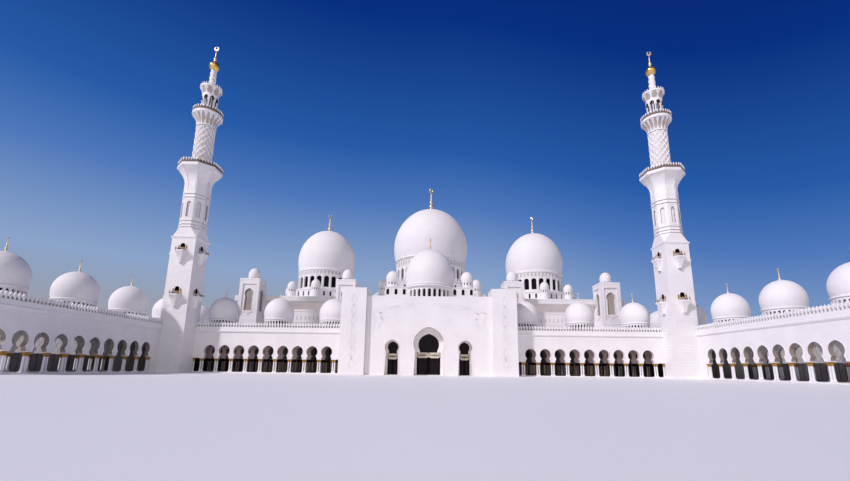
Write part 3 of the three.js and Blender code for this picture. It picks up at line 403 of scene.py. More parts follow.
# For each material: its maker, light colour, dark colour, roughness, and the maker's further inputs in order
LOOKS = {
    WALLS: (marble, (0.87, 0.845, 0.85), (0.81, 0.785, 0.795), 0.5, 0.1, (1.8, 0.9)),
    TRIM: (marble, (0.88, 0.855, 0.86), (0.83, 0.805, 0.815), 0.45, 0.15),
    "marble_dome": (marble, (0.85, 0.825, 0.84), (0.81, 0.785, 0.8), 0.7, 0.15),
    "marble_column": (marble, (0.86, 0.84, 0.85), (0.78, 0.76, 0.78), 0.3, 0.4),
    "marble_relief": (marble, (0.84, 0.81, 0.82), (0.76, 0.72, 0.74), 0.55, 0.1),
    # Warmer, lighter marble: painted bounce light in the portal's shaded reveals.
    "portal_marble_painted_bounce": (marble, (0.9, 0.84, 0.775), (0.83, 0.77, 0.71), 0.5, 0.1),
    "transom": (marble, (0.68, 0.63, 0.52), (0.54, 0.49, 0.38), 0.5, 0.3),
    # Lighter, warmer marble: painted bounce light in the cornice's shaded cove.
    "cove": (marble, (0.96, 0.89, 0.85), (0.9, 0.83, 0.79), 0.6, 0.1),
    # Darkened marble for the arcades' interior: painted shade.
    "inner_wall_painted_shade": (marble, (0.1, 0.085, 0.09), (0.06, 0.05, 0.056), 0.5, 0.2),
    "inner_arch": (marble, (0.52, 0.42, 0.4), (0.42, 0.335, 0.32), 0.5, 0.2),
    "inner_column_painted_shade": (marble, (0.22, 0.19, 0.19), (0.13, 0.11, 0.12), 0.5, 0.2),
    # Darker arch reveals: painted shade under the arches.
    "front_reveal_painted_shade": (marble, (0.72, 0.6, 0.6), (0.6, 0.5, 0.5), 0.5, 0.2),
    "reveal": (marble, (0.34, 0.3, 0.265), (0.26, 0.225, 0.2), 0.5, 0.2),
    "frieze_shade": (marble, (0.6, 0.56, 0.56), (0.52, 0.485, 0.48), 0.6, 0.1),
    "niche_shade": (marble, (0.34, 0.31, 0.3), (0.26, 0.235, 0.23), 0.6, 0.1),
    "gallery_shade": (marble, (0.5, 0.44, 0.4), (0.42, 0.365, 0.335), 0.6, 0.1),
    "shaft_shade": (marble, (0.72, 0.69, 0.69), (0.64, 0.61, 0.61), 0.6, 0.1),
    "tower_screen": (marble, (0.45, 0.395, 0.35), (0.36, 0.315, 0.28), 0.6, 0.2),
    "railing": (marble, (0.2, 0.145, 0.12), (0.12, 0.085, 0.07), 0.6, 0.2),
    # Near-black: painted shade on ceilings, slab undersides and arch heads; also the transom's dark flowers.
    "soffit_shade_and_flowers": (marble, (0.09, 0.07, 0.066), (0.055, 0.042, 0.04), 0.6, 0.3),
    "gilding": (metal, (0.9, 0.64, 0.22), (0.76, 0.48, 0.12), 0.26),
    "finial_gold": (metal, (0.9, 0.75, 0.5), (0.78, 0.6, 0.34), 0.3, 0.8),
    "capital_gold": (metal, (0.46, 0.27, 0.06), (0.3, 0.165, 0.03), 0.45, 0.2, 30.0, 0.2),
    "bronze": (metal, (0.009, 0.005, 0.008), (0.004, 0.002, 0.004), 0.6, 0.0, 30.0, 0.04),
    "lattice_bronze": (metal, (0.03, 0.017, 0.013), (0.015, 0.008, 0.008), 0.5, 0.0, 30.0, 0.1),
    "dark_glass": (metal, (0.009, 0.006, 0.015), (0.005, 0.004, 0.01), 0.2, 0.0, 6.0, 0.12),
    # Pale glass that glows on its own: painted light seen through the outer arches.
    "pale_glass_painted_glow": (metal, (0.5, 0.47, 0.485), (0.42, 0.395, 0.405), 0.25, 0.0, 6.0, 0.3, 0.55),
    "grey_glass": (metal, (0.2, 0.18, 0.19), (0.13, 0.12, 0.14), 0.12, 0.0, 6.0),
}


def new_material(name, look=None):
    """A material of nodes; look gives the inputs of its shader."""
    material = bpy.data.materials.new(name)
    material.use_nodes = True
    tree = material.node_tree
    tree.nodes.clear()
    if look is None:
        maker, *values = LOOKS[name]
        look = maker(tree, *values)
    shader = node(tree, "BsdfPrincipled", look)
    tree.links.new(shader, tree.nodes.new("ShaderNodeOutputMaterial").inputs[0])
    return material


materials = {name: new_material(name) for name in LOOKS}


def make(name, shape, *replaced, body="building"):
    """Makes the piece, lets it ride on its body and stand for the CAD nodes named."""
    names = list(dict.fromkeys(material for group, material in shape.faces))
    sizes = np.concatenate([np.full(len(group), group.shape[1]) for group, material in shape.faces])
    slots = np.concatenate([np.full(len(group), names.index(material)) for group, material in shape.faces])
    mesh = bpy.data.meshes.new(name)
    mesh.vertices.add(shape.count)
    mesh.vertices.foreach_set("co", (shape.all_points() * SCALE).ravel())
    mesh.loops.add(int(sizes.sum()))
    mesh.loops.foreach_set("vertex_index", np.concatenate([group.ravel() for group, material in shape.faces]))
    mesh.polygons.add(len(sizes))
    mesh.polygons.foreach_set("loop_start", np.cumsum(sizes) - sizes)
    mesh.polygons.foreach_set("material_index", slots)
    mesh.polygons.foreach_set("use_smooth", np.ones(len(sizes), bool))
    mesh.update(calc_edges=True)
    mesh.validate()
    mesh.set_sharp_from_angle(angle=radians(34))
    for material in names:
        mesh.materials.append(materials[material])
    piece = bpy.data.objects.new(name, mesh)
    bpy.context.scene.collection.objects.link(piece)
    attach(piece, body)
    if replaced:
        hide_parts(*replaced)


# Common pieces

MERLON = [(0.36, 0), (0.5, 0.16), (0.34, 0.3), (0.9, 0.5), (1, 0.64), (0.72, 0.82), (0.2, 0.95)]
MERLON_WIDTH = 0.58
MERLON_HEIGHT = 1.4
MERLON_DEPTH = 0.28


def merlons(corners, z, spacing=0.82, size=1.0, closed=True):
    """Leaf-shaped merlons along a line of corners in plan, with the outside on the right."""
    half = [(x * MERLON_WIDTH / 2, height * MERLON_HEIGHT) for x, height in MERLON]
    merlon = drawn(mirrored(half, MERLON_HEIGHT), -MERLON_DEPTH / 2, MERLON_DEPTH / 2)
    shape = Shape()
    for (x0, y0), (x1, y1) in zip(corners, corners[1:] + corners[:1] if closed else corners[1:]):
        length = math.hypot(x1 - x0, y1 - y0)
        outside = math.degrees(math.atan2(y1 - y0, x1 - x0))
        shares = [s / length for s in spaced(0, length, spacing)]
        spots = [(x0 + (x1 - x0) * t, y0 + (y1 - y0) * t) for t in shares]
        shape.join(merlon.at(*[place(x, y, z, outside, size) for x, y in spots]))
    return shape


def drum_bay(width, low, high, light, depth, glass="dark_glass", steps=5):
    """One bay of a drum: wall, arched light (width, sill, spring, apex), raised rim and glazing."""
    path = pointed(*light, steps)
    wall = pierced(path, (0.0, (light[1] + light[2]) / 2), -width / 2, width / 2, low, high, 0, depth, TRIM)
    return wall.join(band(path, 0.12 * light[0], -0.05 * light[0], 0),
                     drawn(path[::-1], depth * 0.75, depth * 0.75 + 0.02, glass))


def windowed(x0, x1, z0, z1, spots, light, depth, rim=0.1):
    """A wall along X with the same arched light at each spot."""
    path = pointed(*light)
    edges = [x0] + [(a + b) / 2 for a, b in zip(spots, spots[1:])] + [x1]
    shape = Shape()
    for x, left, right in zip(spots, edges, edges[1:]):
        cell = pierced(path, (0.0, (light[1] + light[2]) / 2), left - x, right - x, z0, z1, 0, depth)
        cell.join(band(path, rim, -rim / 2, 0), drawn(path[::-1], 0.7 * depth, 0.75 * depth, "dark_glass"))
        shape.join(cell.at(place(x)))
    return shape


def crescent(steps, first, sweep, outer, inner, thick):
    """A crescent between two arcs, each given by its reach in X and Z and the height of its centre."""
    angles = np.radians(first + sweep * np.arange(steps + 1) / steps)
    outline = []
    for (x, z, centre), arc in ((outer, angles), (inner, angles[-2:0:-1])):
        outline += [(x * cos(a), centre + z * sin(a)) for a in arc]
    return drawn(outline, -thick, thick, "finial_gold")


def gilt_finial(height, foot):
    """Gilded balls of falling size on a slim tapering spire, and a crescent that stands askew."""
    h = height
    profile = [(0.08, 0), (0.085, 0.012), (0.06, 0.045), (0.05, 0.07), (0.052, 0.085)]
    bulge = np.radians([-55, -40, -20, 0, 20, 40, 55])
    for centre, radius in ((0.19, 0.085), (0.36, 0.064), (0.5, 0.05)):
        profile += [(radius * cos(a), centre + radius * sin(a)) for a in bulge]
        profile.append((0.62 * radius, centre + radius * 1.15))
    profile += [(0.034, 0.66), (0.028, 0.73), (0.036, 0.75), (0.0, 0.78)]
    top = crescent(22, -238, 296, (0.12 * h, 0.12 * h, 0.88 * h), (0.074 * h, 0.08 * h, 0.906 * h), 0.018 * h)
    spire = turned([(r * h, z * h) for r, z in profile], 16, "finial_gold")
    return spire.join(top.at(place(turn=58))).at(place(z=foot))


def lattice(outline, spacing, y0, y1, material, thick=0.05):
    """Slanting bars both ways, cut off by a convex-sided outline."""
    points = np.array(outline, float)
    shape = Shape()
    for tilt in (-1, 1):
        along = np.array([tilt, 1.6]) / math.hypot(1, 1.6)
        across = np.array([along[1], -along[0]])
        reach = [float(p @ across) / spacing for p in points]
        for offset in np.arange(math.ceil(min(reach)), math.floor(max(reach)) + 1) * spacing:
            hits = []
            for a, b in zip(points, np.roll(points, -1, axis=0)):
                da, db = a @ across - offset, b @ across - offset
                if (da < 0) != (db < 0):
                    hits.append(float((a + (b - a) * da / (da - db)) @ along))
            hits.sort()
            for start, end in zip(hits[::2], hits[1::2]):
                if end - start >= 0.1:
                    side = across * thick / 2
                    foot = across * offset + along * start
                    head = across * offset + along * end
                    shape.join(drawn([foot - side, foot + side, head + side, head - side], y0, y1, material))
    return shape


# Arcades

BAY = 4.31
WALL = 1.0
FLOOR = 0.3
CAPITAL_FOOT = 3.35
CAPITAL = 4.25
EAVES = 11.7
ROOF = 12.4
PARAPET = 13.4
ROW_DEPTH = 12.93
ARCH_HALF = 1.5
ARCH = horseshoe(ARCH_HALF, CAPITAL, 1.12, 1.62, 6.36, 8.06, flare=5)
STRING_COURSE = [(0.0, 11.62), (0.12, 11.7), (0.14, 11.8), (0.3, 11.95), (0.34, 12.15), (0.34, 12.3),
                 (0.2, 12.4), (0.15, 12.42)]

FRONT_START = 25.503
FRONT_END = 69.297
FRONT_MIDDLES = [30.0 + i * BAY for i in range(9)]
SIDE_X = 75.7
OUTER_X = SIDE_X + ROW_DEPTH - WALL
SIDE_FRONT = -74.0
SIDE_END = -26.853
FRONT_PLANE = -21.0
REAR_PLANE = FRONT_PLANE + ROW_DEPTH
WING_REAR = REAR_PLANE + 4 * BAY
HALL_FRONT = 4.6
HALL_REAR = 72.0
HALL_HALF = 68.0

ARCADE_DOME = 4.45
ARCADE_DRUM = 0.94 * ARCADE_DOME
ARCADE_RING = 16.5
FRONT_DOMES = FRONT_MIDDLES[::4]
SIDE_MIDDLES = [-32.2 - i * BAY for i in range(9, -1, -1)]
WING_MIDDLES = [SIDE_MIDDLES[-1] + i * BAY for i in range(6, 10)]
SETBACK = ROW_DEPTH / 2
CORNER_DOME = FRONT_PLANE + SETBACK


def column(radius, low, high, material="marble_column"):
    rise = high - low
    profile = [(1.45, 0), (1.45, 0.12), (1.25, 0.2), (1.3, 0.27), (1.06, 0.34), (1, 0.42), (0.96, 0.7 * rise),
               (0.92, rise)]
    return turned([(radius * r, low + z) for r, z in profile], 14, material)


def palm_capital(radius, low, high, gold="capital_gold"):
    """A gilded capital of upright leaves that lean outwards."""
    rise = high - low
    profile = [(0.98, -0.06), (1.12, -0.02), (1, 0.03), (1.08, 0.3 * rise), (1.3, 0.62 * rise),
               (1.62, 0.88 * rise), (1.5, 0.98 * rise), (1.2, rise)]
    return turned([(radius * r, low + z) for r, z in profile], 32, gold, lambda a: 1 + 0.07 * np.cos(8 * a))


def column_pair(shaft="marble_column", gold="capital_gold"):
    """Two slim shafts under one gilded capital with a marble cap."""
    top = CAPITAL - 0.14
    slim = column(0.22, FLOOR + 0.16, CAPITAL_FOOT + 0.08, shaft)
    slim.join(palm_capital(0.23, CAPITAL_FOOT + 0.06, top - 0.1, gold))
    return slim.at(place(-0.3), place(0.3)).join(
        block(-0.66, 0.66, -0.36, 0.36, FLOOR, FLOOR + 0.16, shaft, 0.02),
        block(-0.64, 0.64, -0.42, 0.42, top - 0.12, top, gold),
        block(-0.7, 0.7, -0.47, 0.47, top, CAPITAL + 0.02, shaft))


def arch_row(start, end, middles, face=WALLS, reveal=WALLS, trims=1, pair=None):
    """A row of arches along X with plain wall up to its two ends. trims counts the faces that have bands."""
    edge = BAY / 2
    bay = pierced(ARCH, (0.0, 5.6), -edge, edge, CAPITAL, EAVES, 0, WALL, face, reveal, face, open_foot=True)
    for x0, x1 in ((-edge, -ARCH_HALF), (ARCH_HALF, edge)):
        corners = [(x0, 0), (x0, WALL), (x1, WALL), (x1, 0)]
        bay.add([(x, y, CAPITAL) for x, y in corners], [[(0, 1, 2, 3)]], face)
    for k in range(trims):
        bay.join(band(ARCH, 0.16, -0.05, 0, closed=False).at(place(y=k * WALL, turn=180 * k)))
    shape = bay.at(*[place(x) for x in middles])
    for x0, x1 in ((start, middles[0] - edge), (middles[-1] + edge, end)):
        if x1 - x0 > 0.01:
            shape.join(block(x0, x1, 0, WALL, CAPITAL, EAVES, face))
    spots = [middles[0] - edge, *[x + edge for x in middles]]
    return shape.join((pair or column_pair()).at(*[place(x, WALL / 2) for x in spots]))


def front_arcade():
    end = column(0.22, FLOOR, CAPITAL_FOOT).join(palm_capital(0.23, CAPITAL_FOOT - 0.02, CAPITAL))
    # The arch reveals are darker: painted shade.
    return arch_row(FRONT_START, FRONT_END, FRONT_MIDDLES, reveal="front_reveal_painted_shade").join(
        block(FRONT_START, FRONT_END, 0, WALL, 0, FLOOR, edge=0.03),
        end.at(place(FRONT_START + 0.35, WALL / 2), place(FRONT_END - 0.35, WALL / 2)))


def front_inner_arcade():
    """Two darker rows, the floor, and a rear wall with dark glazed doors in slim gilded frames. The rows, the
    floor, the rear wall and the ceiling are darkened as painted shade of the interior, and the rows' capitals
    are near-black bronze for gilding in shade.
    """
    end, rear, head, half = SIDE_X - GAP, ROW_DEPTH - WALL, 4.4, 1.45
    pair = column_pair("inner_column_painted_shade", "bronze")
    shape = Shape()
    for k, face in ((1, "inner_arch"), (2, "inner_wall_painted_shade")):
        row = arch_row(FRONT_START, FRONT_END, FRONT_MIDDLES, face, face, 0, pair)
        shape.join(row.at(place(y=k * BAY)))
    doors = block(-half, half, -0.06, 0, FLOOR, head, "dark_glass")
    for x in (-half, -0.5, 0.5, half):
        doors.join(block(x - 0.05, x + 0.05, -0.12, 0, FLOOR, head, "gilding"))
    return shape.join(block(FRONT_START, end, WALL + GAP, ROW_DEPTH, 0.0, FLOOR, "inner_wall_painted_shade"),
                      block(FRONT_START, end, rear, ROW_DEPTH, FLOOR, EAVES, "inner_wall_painted_shade"),
                      doors.at(*[place(x, rear) for x in FRONT_MIDDLES]),
                      block(FRONT_START, FRONT_END, WALL, rear, EAVES - 0.02, EAVES, "soffit_shade_and_flowers"))


def arcade_dome():
    bays = 30
    drum = ARCADE_DRUM
    bay = drum_bay(TURN * drum / bays, 13.3, 16.0, (0.5, 13.7, 15.3, 15.72), 0.4, steps=3)
    foot = [(drum + 0.25, ROOF), (drum + 0.25, 12.8), (drum + 0.1, 13.0), (drum, 13.1), (drum, 13.3)]
    cap = turned([(0.55, 0), (0.4, 0.08), (0.26, 0.22), (0.16, 0.4)], 16, "marble_dome")
    return bay.bent(drum).at(*around(bays)).join(
        turned(foot, 90),
        ring(drum, 0.22, 16.05, ARCADE_RING, 90, [(drum, 16.0), (drum + 0.05, 16.05)]),
        dome(ARCADE_DOME, 6.7, ARCADE_RING, 30, 72),
        cap.at(place(z=ARCADE_RING + 6.6)),
        gilt_finial(3.0, ARCADE_RING + 6.66))


def along_y(shape, x, side):
    """Lays a piece that runs along X along Y instead, with its depth away from the court."""
    return shape.at(np.array([[0, side, 0, x * side], [1, 0, 0, 0], [0, 0, 1, 0], [0, 0, 0, 1.0]]))


def roof_slab(x0, x1, y0, y1, centres, y):
    """A flat slab with a round hole under each dome, at the centres along X. Its underside is near-black:
    painted shade.
    """
    low, high, radius = EAVES + GAP, ROOF, ARCADE_DRUM - 0.45
    edges = [x0] + [(a + b) / 2 for a, b in zip(centres, centres[1:])] + [x1]
    shape = Shape()
    for x, left, right in zip(centres, edges, edges[1:]):
        circle = [(x - radius * cos(a), y + radius * sin(a)) for a in np.arange(48) * TURN / 48]
        shape.join(pierced(circle, (x, y), left, right, y0, y1, -high, -low, back="soffit_shade_and_flowers"))
    return shape.at(place(lean=-90))


def front_roof():
    rear = HALL_FRONT - GAP
    line = [(FRONT_START, FRONT_PLANE), (FRONT_END, FRONT_PLANE)]
    front = FRONT_PLANE + 0.25
    slab = roof_slab(FRONT_START, SIDE_X - GAP, FRONT_PLANE - 0.15, REAR_PLANE, FRONT_DOMES, CORNER_DOME)
    return slab.join(
        block(FRONT_START, HALL_HALF, REAR_PLANE, rear, EAVES + GAP, ROOF, WALLS),
        block(HALL_HALF - 1.2, HALL_HALF, REAR_PLANE, rear, 0, EAVES, WALLS),
        moulding(line, STRING_COURSE, closed=False),
        block(FRONT_START, FRONT_END, front - 0.4, front, ROOF, PARAPET),
        # A dark strip behind the merlons: painted shade.
        block(FRONT_START, FRONT_END, front - 0.05, front, PARAPET, PARAPET + 0.5, "niche_shade"),
        merlons([(x, y + 0.05) for x, y in line], PARAPET, closed=False),
        arcade_dome().at(*[place(x, CORNER_DOME) for x in FRONT_DOMES]))


def side_roof():
    """Laid along X, with the court in front."""
    rear = WING_REAR
    back = ROW_DEPTH - 0.25
    spots = [*SIDE_MIDDLES[1::4], CORNER_DOME, CORNER_DOME + 4 * BAY]
    outer = [(min(reach, 0.149), z) for reach, z in STRING_COURSE]
    shape = roof_slab(SIDE_FRONT, rear, -0.15, ROW_DEPTH + 0.15, spots, SETBACK)
    shape.join(moulding([(SIDE_FRONT, 0), (SIDE_END, 0)], STRING_COURSE, closed=False),
               moulding([(rear, ROW_DEPTH), (SIDE_FRONT, ROW_DEPTH)], outer, closed=False),
               # A dark strip behind the merlons: painted shade.
               block(SIDE_FRONT, SIDE_END, 0.2, 0.25, PARAPET, PARAPET + 0.5, "niche_shade"))
    for x0, x1, y0, y1 in ((REAR_PLANE - 0.4, rear, 0.0, 0.25),
                           (SIDE_FRONT, SIDE_END, -0.15, 0.25),
                           (SIDE_FRONT, rear, back, ROW_DEPTH + 0.15),
                           (SIDE_FRONT, SIDE_FRONT + 0.4, 0.25, back),
                           (rear - 0.4, rear, 0.3, back)):
        shape.join(block(x0, x1, y0, y1, ROOF, PARAPET))
    front, end, far = SIDE_FRONT + 0.2, rear - 0.2, ROW_DEPTH - 0.05
    line = [(end, 0.3), (end, far), (front, far), (front, 0.05), (SIDE_END, 0.05)]
    return shape.join(merlons(line, PARAPET, closed=False),
                      arcade_dome().at(*[place(x, SETBACK) for x in spots]))


def side_court_row():
    # The arch reveals are dark brown: painted shade.
    return arch_row(SIDE_FRONT, SIDE_END, SIDE_MIDDLES, reveal="reveal").join(
        block(SIDE_FRONT, SIDE_END, 0, WALL, 0, FLOOR, edge=0.03),
        block(SIDE_MIDDLES[-1] + 2.8, SIDE_END, 0.0, WALL, FLOOR, CAPITAL, WALLS))


def side_outer_row():
    """The glazed outer rows, then the closed walls behind the minaret and beside the hall. The pale panes
    glow on their own, as painted light from beyond the arches, and the arch reveals are darker, as painted
    shade.
    """
    middle = WALL / 2
    inner = WALL - ROW_DEPTH + GAP
    outline = inset(ARCH[::-1], 0.03)
    pane = drawn(outline, middle, middle + 0.05, "pale_glass_painted_glow")
    pane.join(lattice(outline, 1.1, middle - 0.06, middle, TRIM, 0.07),
              block(-1.46, 1.46, middle, middle + 0.05, FLOOR, CAPITAL, "grey_glass"))
    for x in (-1.46, -0.04, 1.38):
        pane.join(block(x, x + 0.08, middle - 0.03, middle + 0.08, FLOOR, CAPITAL, "bronze"))
    return arch_row(SIDE_FRONT, REAR_PLANE - 1, SIDE_MIDDLES, WALLS, "reveal", 2).join(
        arch_row(REAR_PLANE - 1, WING_REAR, WING_MIDDLES, WALLS, "reveal"),
        block(SIDE_MIDDLES[-1] + BAY / 2, SIDE_END, middle, middle + 0.05, FLOOR, CAPITAL, "grey_glass"),
        pane.at(*[place(x) for x in SIDE_MIDDLES + WING_MIDDLES]),
        block(SIDE_FRONT, WING_REAR, 0, WALL, 0, FLOOR, edge=0.03),
        block(SIDE_END, REAR_PLANE, 0, WALL, FLOOR, CAPITAL, WALLS),
        block(WING_REAR - 1, WING_REAR, inner, WALL, FLOOR, EAVES, WALLS),
        block(REAR_PLANE - 1, WING_REAR, inner, inner + WALL, FLOOR, EAVES, WALLS))


# Turrets and towers

TOWER_HALF = 3.45
TOWER_Y = HALL_FRONT - GAP - TOWER_HALF
TOWER_TOP = 32.3
TOWERS = (("inner", 29.5), ("outer", 63.1))


def turret(foot, neck, radius=2.15):
    """A round turret with a band of tiny windows under a small plain dome."""
    bays = 12
    shaft = 0.95 * radius
    high = min(1.45, 0.86 * (neck - foot))
    low = neck - high
    light = (0.2 * radius, low + 0.2 * high, low + 0.58 * high, low + 0.78 * high)
    bay = drum_bay(TURN * shaft / bays, low, neck - 0.12 * high, light, 0.3, steps=3)
    return bay.bent(shaft).at(*around(bays)).join(
        ring(shaft, 0.1, low - 0.15, low + 0.08, 36, [(shaft, foot), (shaft, low)]),
        ring(shaft, 0.16, neck - 0.14 * high, neck + 0.05, 36),
        dome(radius, 1.72 * radius, neck, 16, 36))


def tower_face(screen):
    half, low, high = 2.25, 19.4, 30.3
    head = horseshoe(1.35, 20.9, 1.25, 1.525, 27.0, 28.85, 8)
    frame_path = [(-half, low), (-half, high), (half, high), (half, low)]
    bracket = [(-1.3, 20.4), (-0.5, 19.9), (0.0, 19.62), (0.5, 19.9), (1.3, 20.4)]
    return pierced(frame_path, (0.0, 24.8), -TOWER_HALF, TOWER_HALF, ROOF, TOWER_TOP, 0, 0.28).join(
        pierced(head, (0.0, 24.6), -half, half, low, high, 0.28, 0.75, WALLS, "marble_relief"),
        band(head, 0.2, 0.18, 0.28),
        drawn(head[::-1], 0.6, 0.64, screen),
        lattice(head[::-1], 0.62, 0.56, 0.6, screen),
        band(frame_path, 0.12, -0.07, 0),
        block(-1.7, 1.7, -0.02, 0.28, 20.4, 20.9, edge=0.05),
        drawn(bracket, 0.04, 0.28))


def lantern_tower():
    square = rectangle(-TOWER_HALF, TOWER_HALF, -TOWER_HALF, TOWER_HALF)
    shape = tower_face("tower_screen").at(*around(2, TOWER_HALF))
    # The side faces take a darker screen: painted shade.
    shape.join(tower_face("niche_shade").at(*around(2, TOWER_HALF, 90)))
    for low, high, reach in ((15.2, 15.6, 0.09), (16.1, 16.35, 0.09), (12.4, 13.3, 0.16), (17.6, 17.9, 0.07)):
        shape.join(course(square, low, high, reach))
    return shape.join(moulding(square, [(0, 31.75), (0.07, 31.8), (0.07, 32.1), (0.0, 32.3), (-1.8, 32.33)]),
                      block(-1.9, 1.9, -1.9, 1.9, 32.0, 32.34),
                      turret(32.2, 33.1, 2.05))


# Hall and its domes

HALL_ROOF = 25.8
DOME_LINE = 39.4
SIDE_DOME_X = 47.2


def ribbed(x0, x1, low, high, spacing=0.5, reach=0.12):
    """A band of upright ribs between two rails."""
    shape = Shape()
    for x in spaced(x0, x1, spacing):
        shape.join(block(x - 0.3 * spacing, x + 0.3 * spacing, -reach, 0, low, high))
    for z in (low - 0.12, high):
        shape.join(block(x0, x1, -1.3 * reach, 0, z, z + 0.16))
    return shape


def octagon_faces(radius, low, high, spots, light, ribs=None):
    """Eight walls with lights and, where ribs gives their heights, a ribbed band."""
    half = radius * sin(pi / 8)
    face = windowed(-half, half, low, high, spots, light, 0.6)
    if ribs:
        face.join(ribbed(-half, half, *ribs))
    return face.at(*around(8, radius * cos(pi / 8), 22.5))


def side_dome_base():
    radius = 16.0
    corners = polygon(radius, 8, 0)
    spots = [-2.65, 0.0, 2.65]
    light = (0.75, 31.1, 32.55, 33.1)
    shape = octagon_faces(radius, HALL_ROOF, 34.0, spots, light, (28.6, 30.4))
    return shape.join(
        moulding(corners, [(0, 33.35), (0.1, 33.4), (0.12, 33.5), (0.3, 33.7), (0.32, 34.0), (0, 34.05),
                           (-3.9, 34.05)]),
        moulding(corners, [(0.3, HALL_ROOF), (0.3, 26.3), (0.1, 26.5), (0, 26.6)]),
        turret(HALL_ROOF, 34.3, 1.95).at(*around(8, radius)))


def great_drum(radius, bays, foot, top, light, glass, frieze):
    """The drum of a great dome: lights between pilasters, a frieze of small arches, and a rounded ring."""
    width = TURN * radius / bays
    step = width / 2
    pier = 0.31 * (width - light[0])
    low, high = frieze + 0.15, top - 0.75
    niche = pointed(0.62 * step, low, low + 0.5 * (high - low), high, 4)
    blind = band(niche, 0.15 * step, -0.16, 0).join(drawn(niche[::-1], -0.02, 0, "frieze_shade"))
    bay = drum_bay(width, foot, top - 0.1, light, 0.8, glass, 6)
    bay.join(block(-width / 2 - pier, -width / 2 + pier, -0.2, 0, light[1] - 0.8, frieze - 0.1, edge=0.06),
             blind.at(place(-step / 2), place(step / 2)),
             lattice(pointed(*light, 6)[::-1], 0.55, 0.45, 0.53, "bronze"))
    shape = bay.bent(radius).at(*around(bays))
    for low, high, reach in ((frieze - 0.2, frieze + 0.1, 0.22), (light[1] - 1.0, light[1] - 0.7, 0.24),
                             (top - 0.6, top + 0.1, 0.42)):
        shape.join(ring(radius, reach, low, high, 112))
    return shape


def great_dome(radius, rise, foot):
    return dome(radius, rise, foot, 44, 112).join(ring(0.945 * radius, 0.32, foot - 0.1, foot + 0.6, 112))


def main_dome_base():
    """Two octagonal stages with lights and merlons, and four turrets."""
    outer, inner, shelf = 28.0, 19.0, 14.5
    low, high = 31.5, 38.0
    spots = [-6.6, -3.3, 0.0, 3.3, 6.6]
    light = (0.95, 28.4, 29.9, 30.5)
    shape = octagon_faces(outer, HALL_ROOF, low, spots, light, (26.6, 27.7))
    shape.join(octagon_faces(inner, low, high, [-4.2, -1.4, 1.4, 4.2], (1.0, 33.6, 35.4, 36.3)))
    for radius, top, behind in ((outer, low, inner), (inner, high, shelf)):
        shelf_reach = (behind - radius) * cos(pi / 8)
        cornice = [(0, -0.8), (0.1, -0.7), (0.14, -0.5), (0.36, -0.2), (0.38, 0), (0, 0.05),
                   (shelf_reach, 0.05)]
        shape.join(moulding(polygon(radius, 8, 0), [(reach, top + z) for reach, z in cornice]),
                   merlons(polygon(radius - 0.1, 8, 0), top + 0.03, 0.7, 0.75))
    return shape.join(turret(HALL_ROOF, 33.9).at(*around(4, outer - 1.5, 45)))


def hall_cornice():
    """A ribbed fascia over a deep shaded cove; the cove is lighter and warmer as painted bounce light."""
    x, y0, y1 = 70.06, 2.54, 73.99
    low, high = 25.0, 26.95
    half = (y1 - y0) / 2 - 0.2
    cove = [(0, 22.6), (0.12, 22.75), (0.12, 23.0), (0.5, 23.5), (0.62, 23.8), (1.2, 24.4), (1.3, 24.7),
            (1.85, 24.96)]
    fascia = [(-0.3, low - 0.03), (0, low), (0, high), (-0.35, high), (-0.4, HALL_ROOF)]
    ribs = (low + 0.35, high - 0.4, 0.72, 0.09)
    flanks = [place(side * x, (y0 + y1) / 2, 0, 90 * side) for side in (-1, 1)]
    return moulding(rectangle(-HALL_HALF, HALL_HALF, HALL_FRONT, HALL_REAR), cove, "cove").join(
        moulding(rectangle(-x, x, y0, y1), fascia),
        ribbed(-x, x, *ribs).at(place(y=y0)),
        ribbed(-half, half, *ribs).at(*flanks))


def hall_front_band():
    """The part of the hall's front that shows above the arcades: slots, a dotted row and string courses."""
    shape = Shape()
    for x in spaced(-HALL_HALF, HALL_HALF, 1.5):
        shape.join(block(x - 0.17, x + 0.17, -0.03, 0, 18.6, 20.0, "frieze_shade"),
                   block(x - 0.34, x + 0.34, -0.03, 0, 16.8, 17.3, "frieze_shade"))
    for z in (17.6, 21.7):
        shape.join(block(-HALL_HALF, HALL_HALF, -0.14, 0, z, z + 0.28))
    return shape.at(place(y=HALL_FRONT))


def hall_side_arches():
    """Blind arches in shallow relief along a plain wall, with a string course."""
    half = 33.7
    path = pointed(2.6, 5.0, 14.0, 16.2, 8)
    arch = band(path, 0.3, -0.14, 0).join(
        drawn(path[::-1], -0.02, 0, "grey_glass"),
        lattice(path[::-1], 1.0, -0.08, -0.02, "bronze", 0.08),
        block(-2.1, 2.1, -0.3, 0, 4.2, 4.7, edge=0.05),
        band([(-2.3, 3.4), (-2.3, 18.6), (2.3, 18.6), (2.3, 3.4)], 0.22, -0.12, 0))
    return arch.at(*[place(x) for x in spaced(-half, half, 2 * half / 7)]).join(
        block(-half, half, -0.2, 0, 0.0, 1.2, edge=0.04),
        block(-half, half, -0.2, 0, 20.6, 20.95, edge=0.04))


# Portal: arches are (jamb, neck, radius, centre, apex), fanlights (neck, radius, centre, apex, sill)

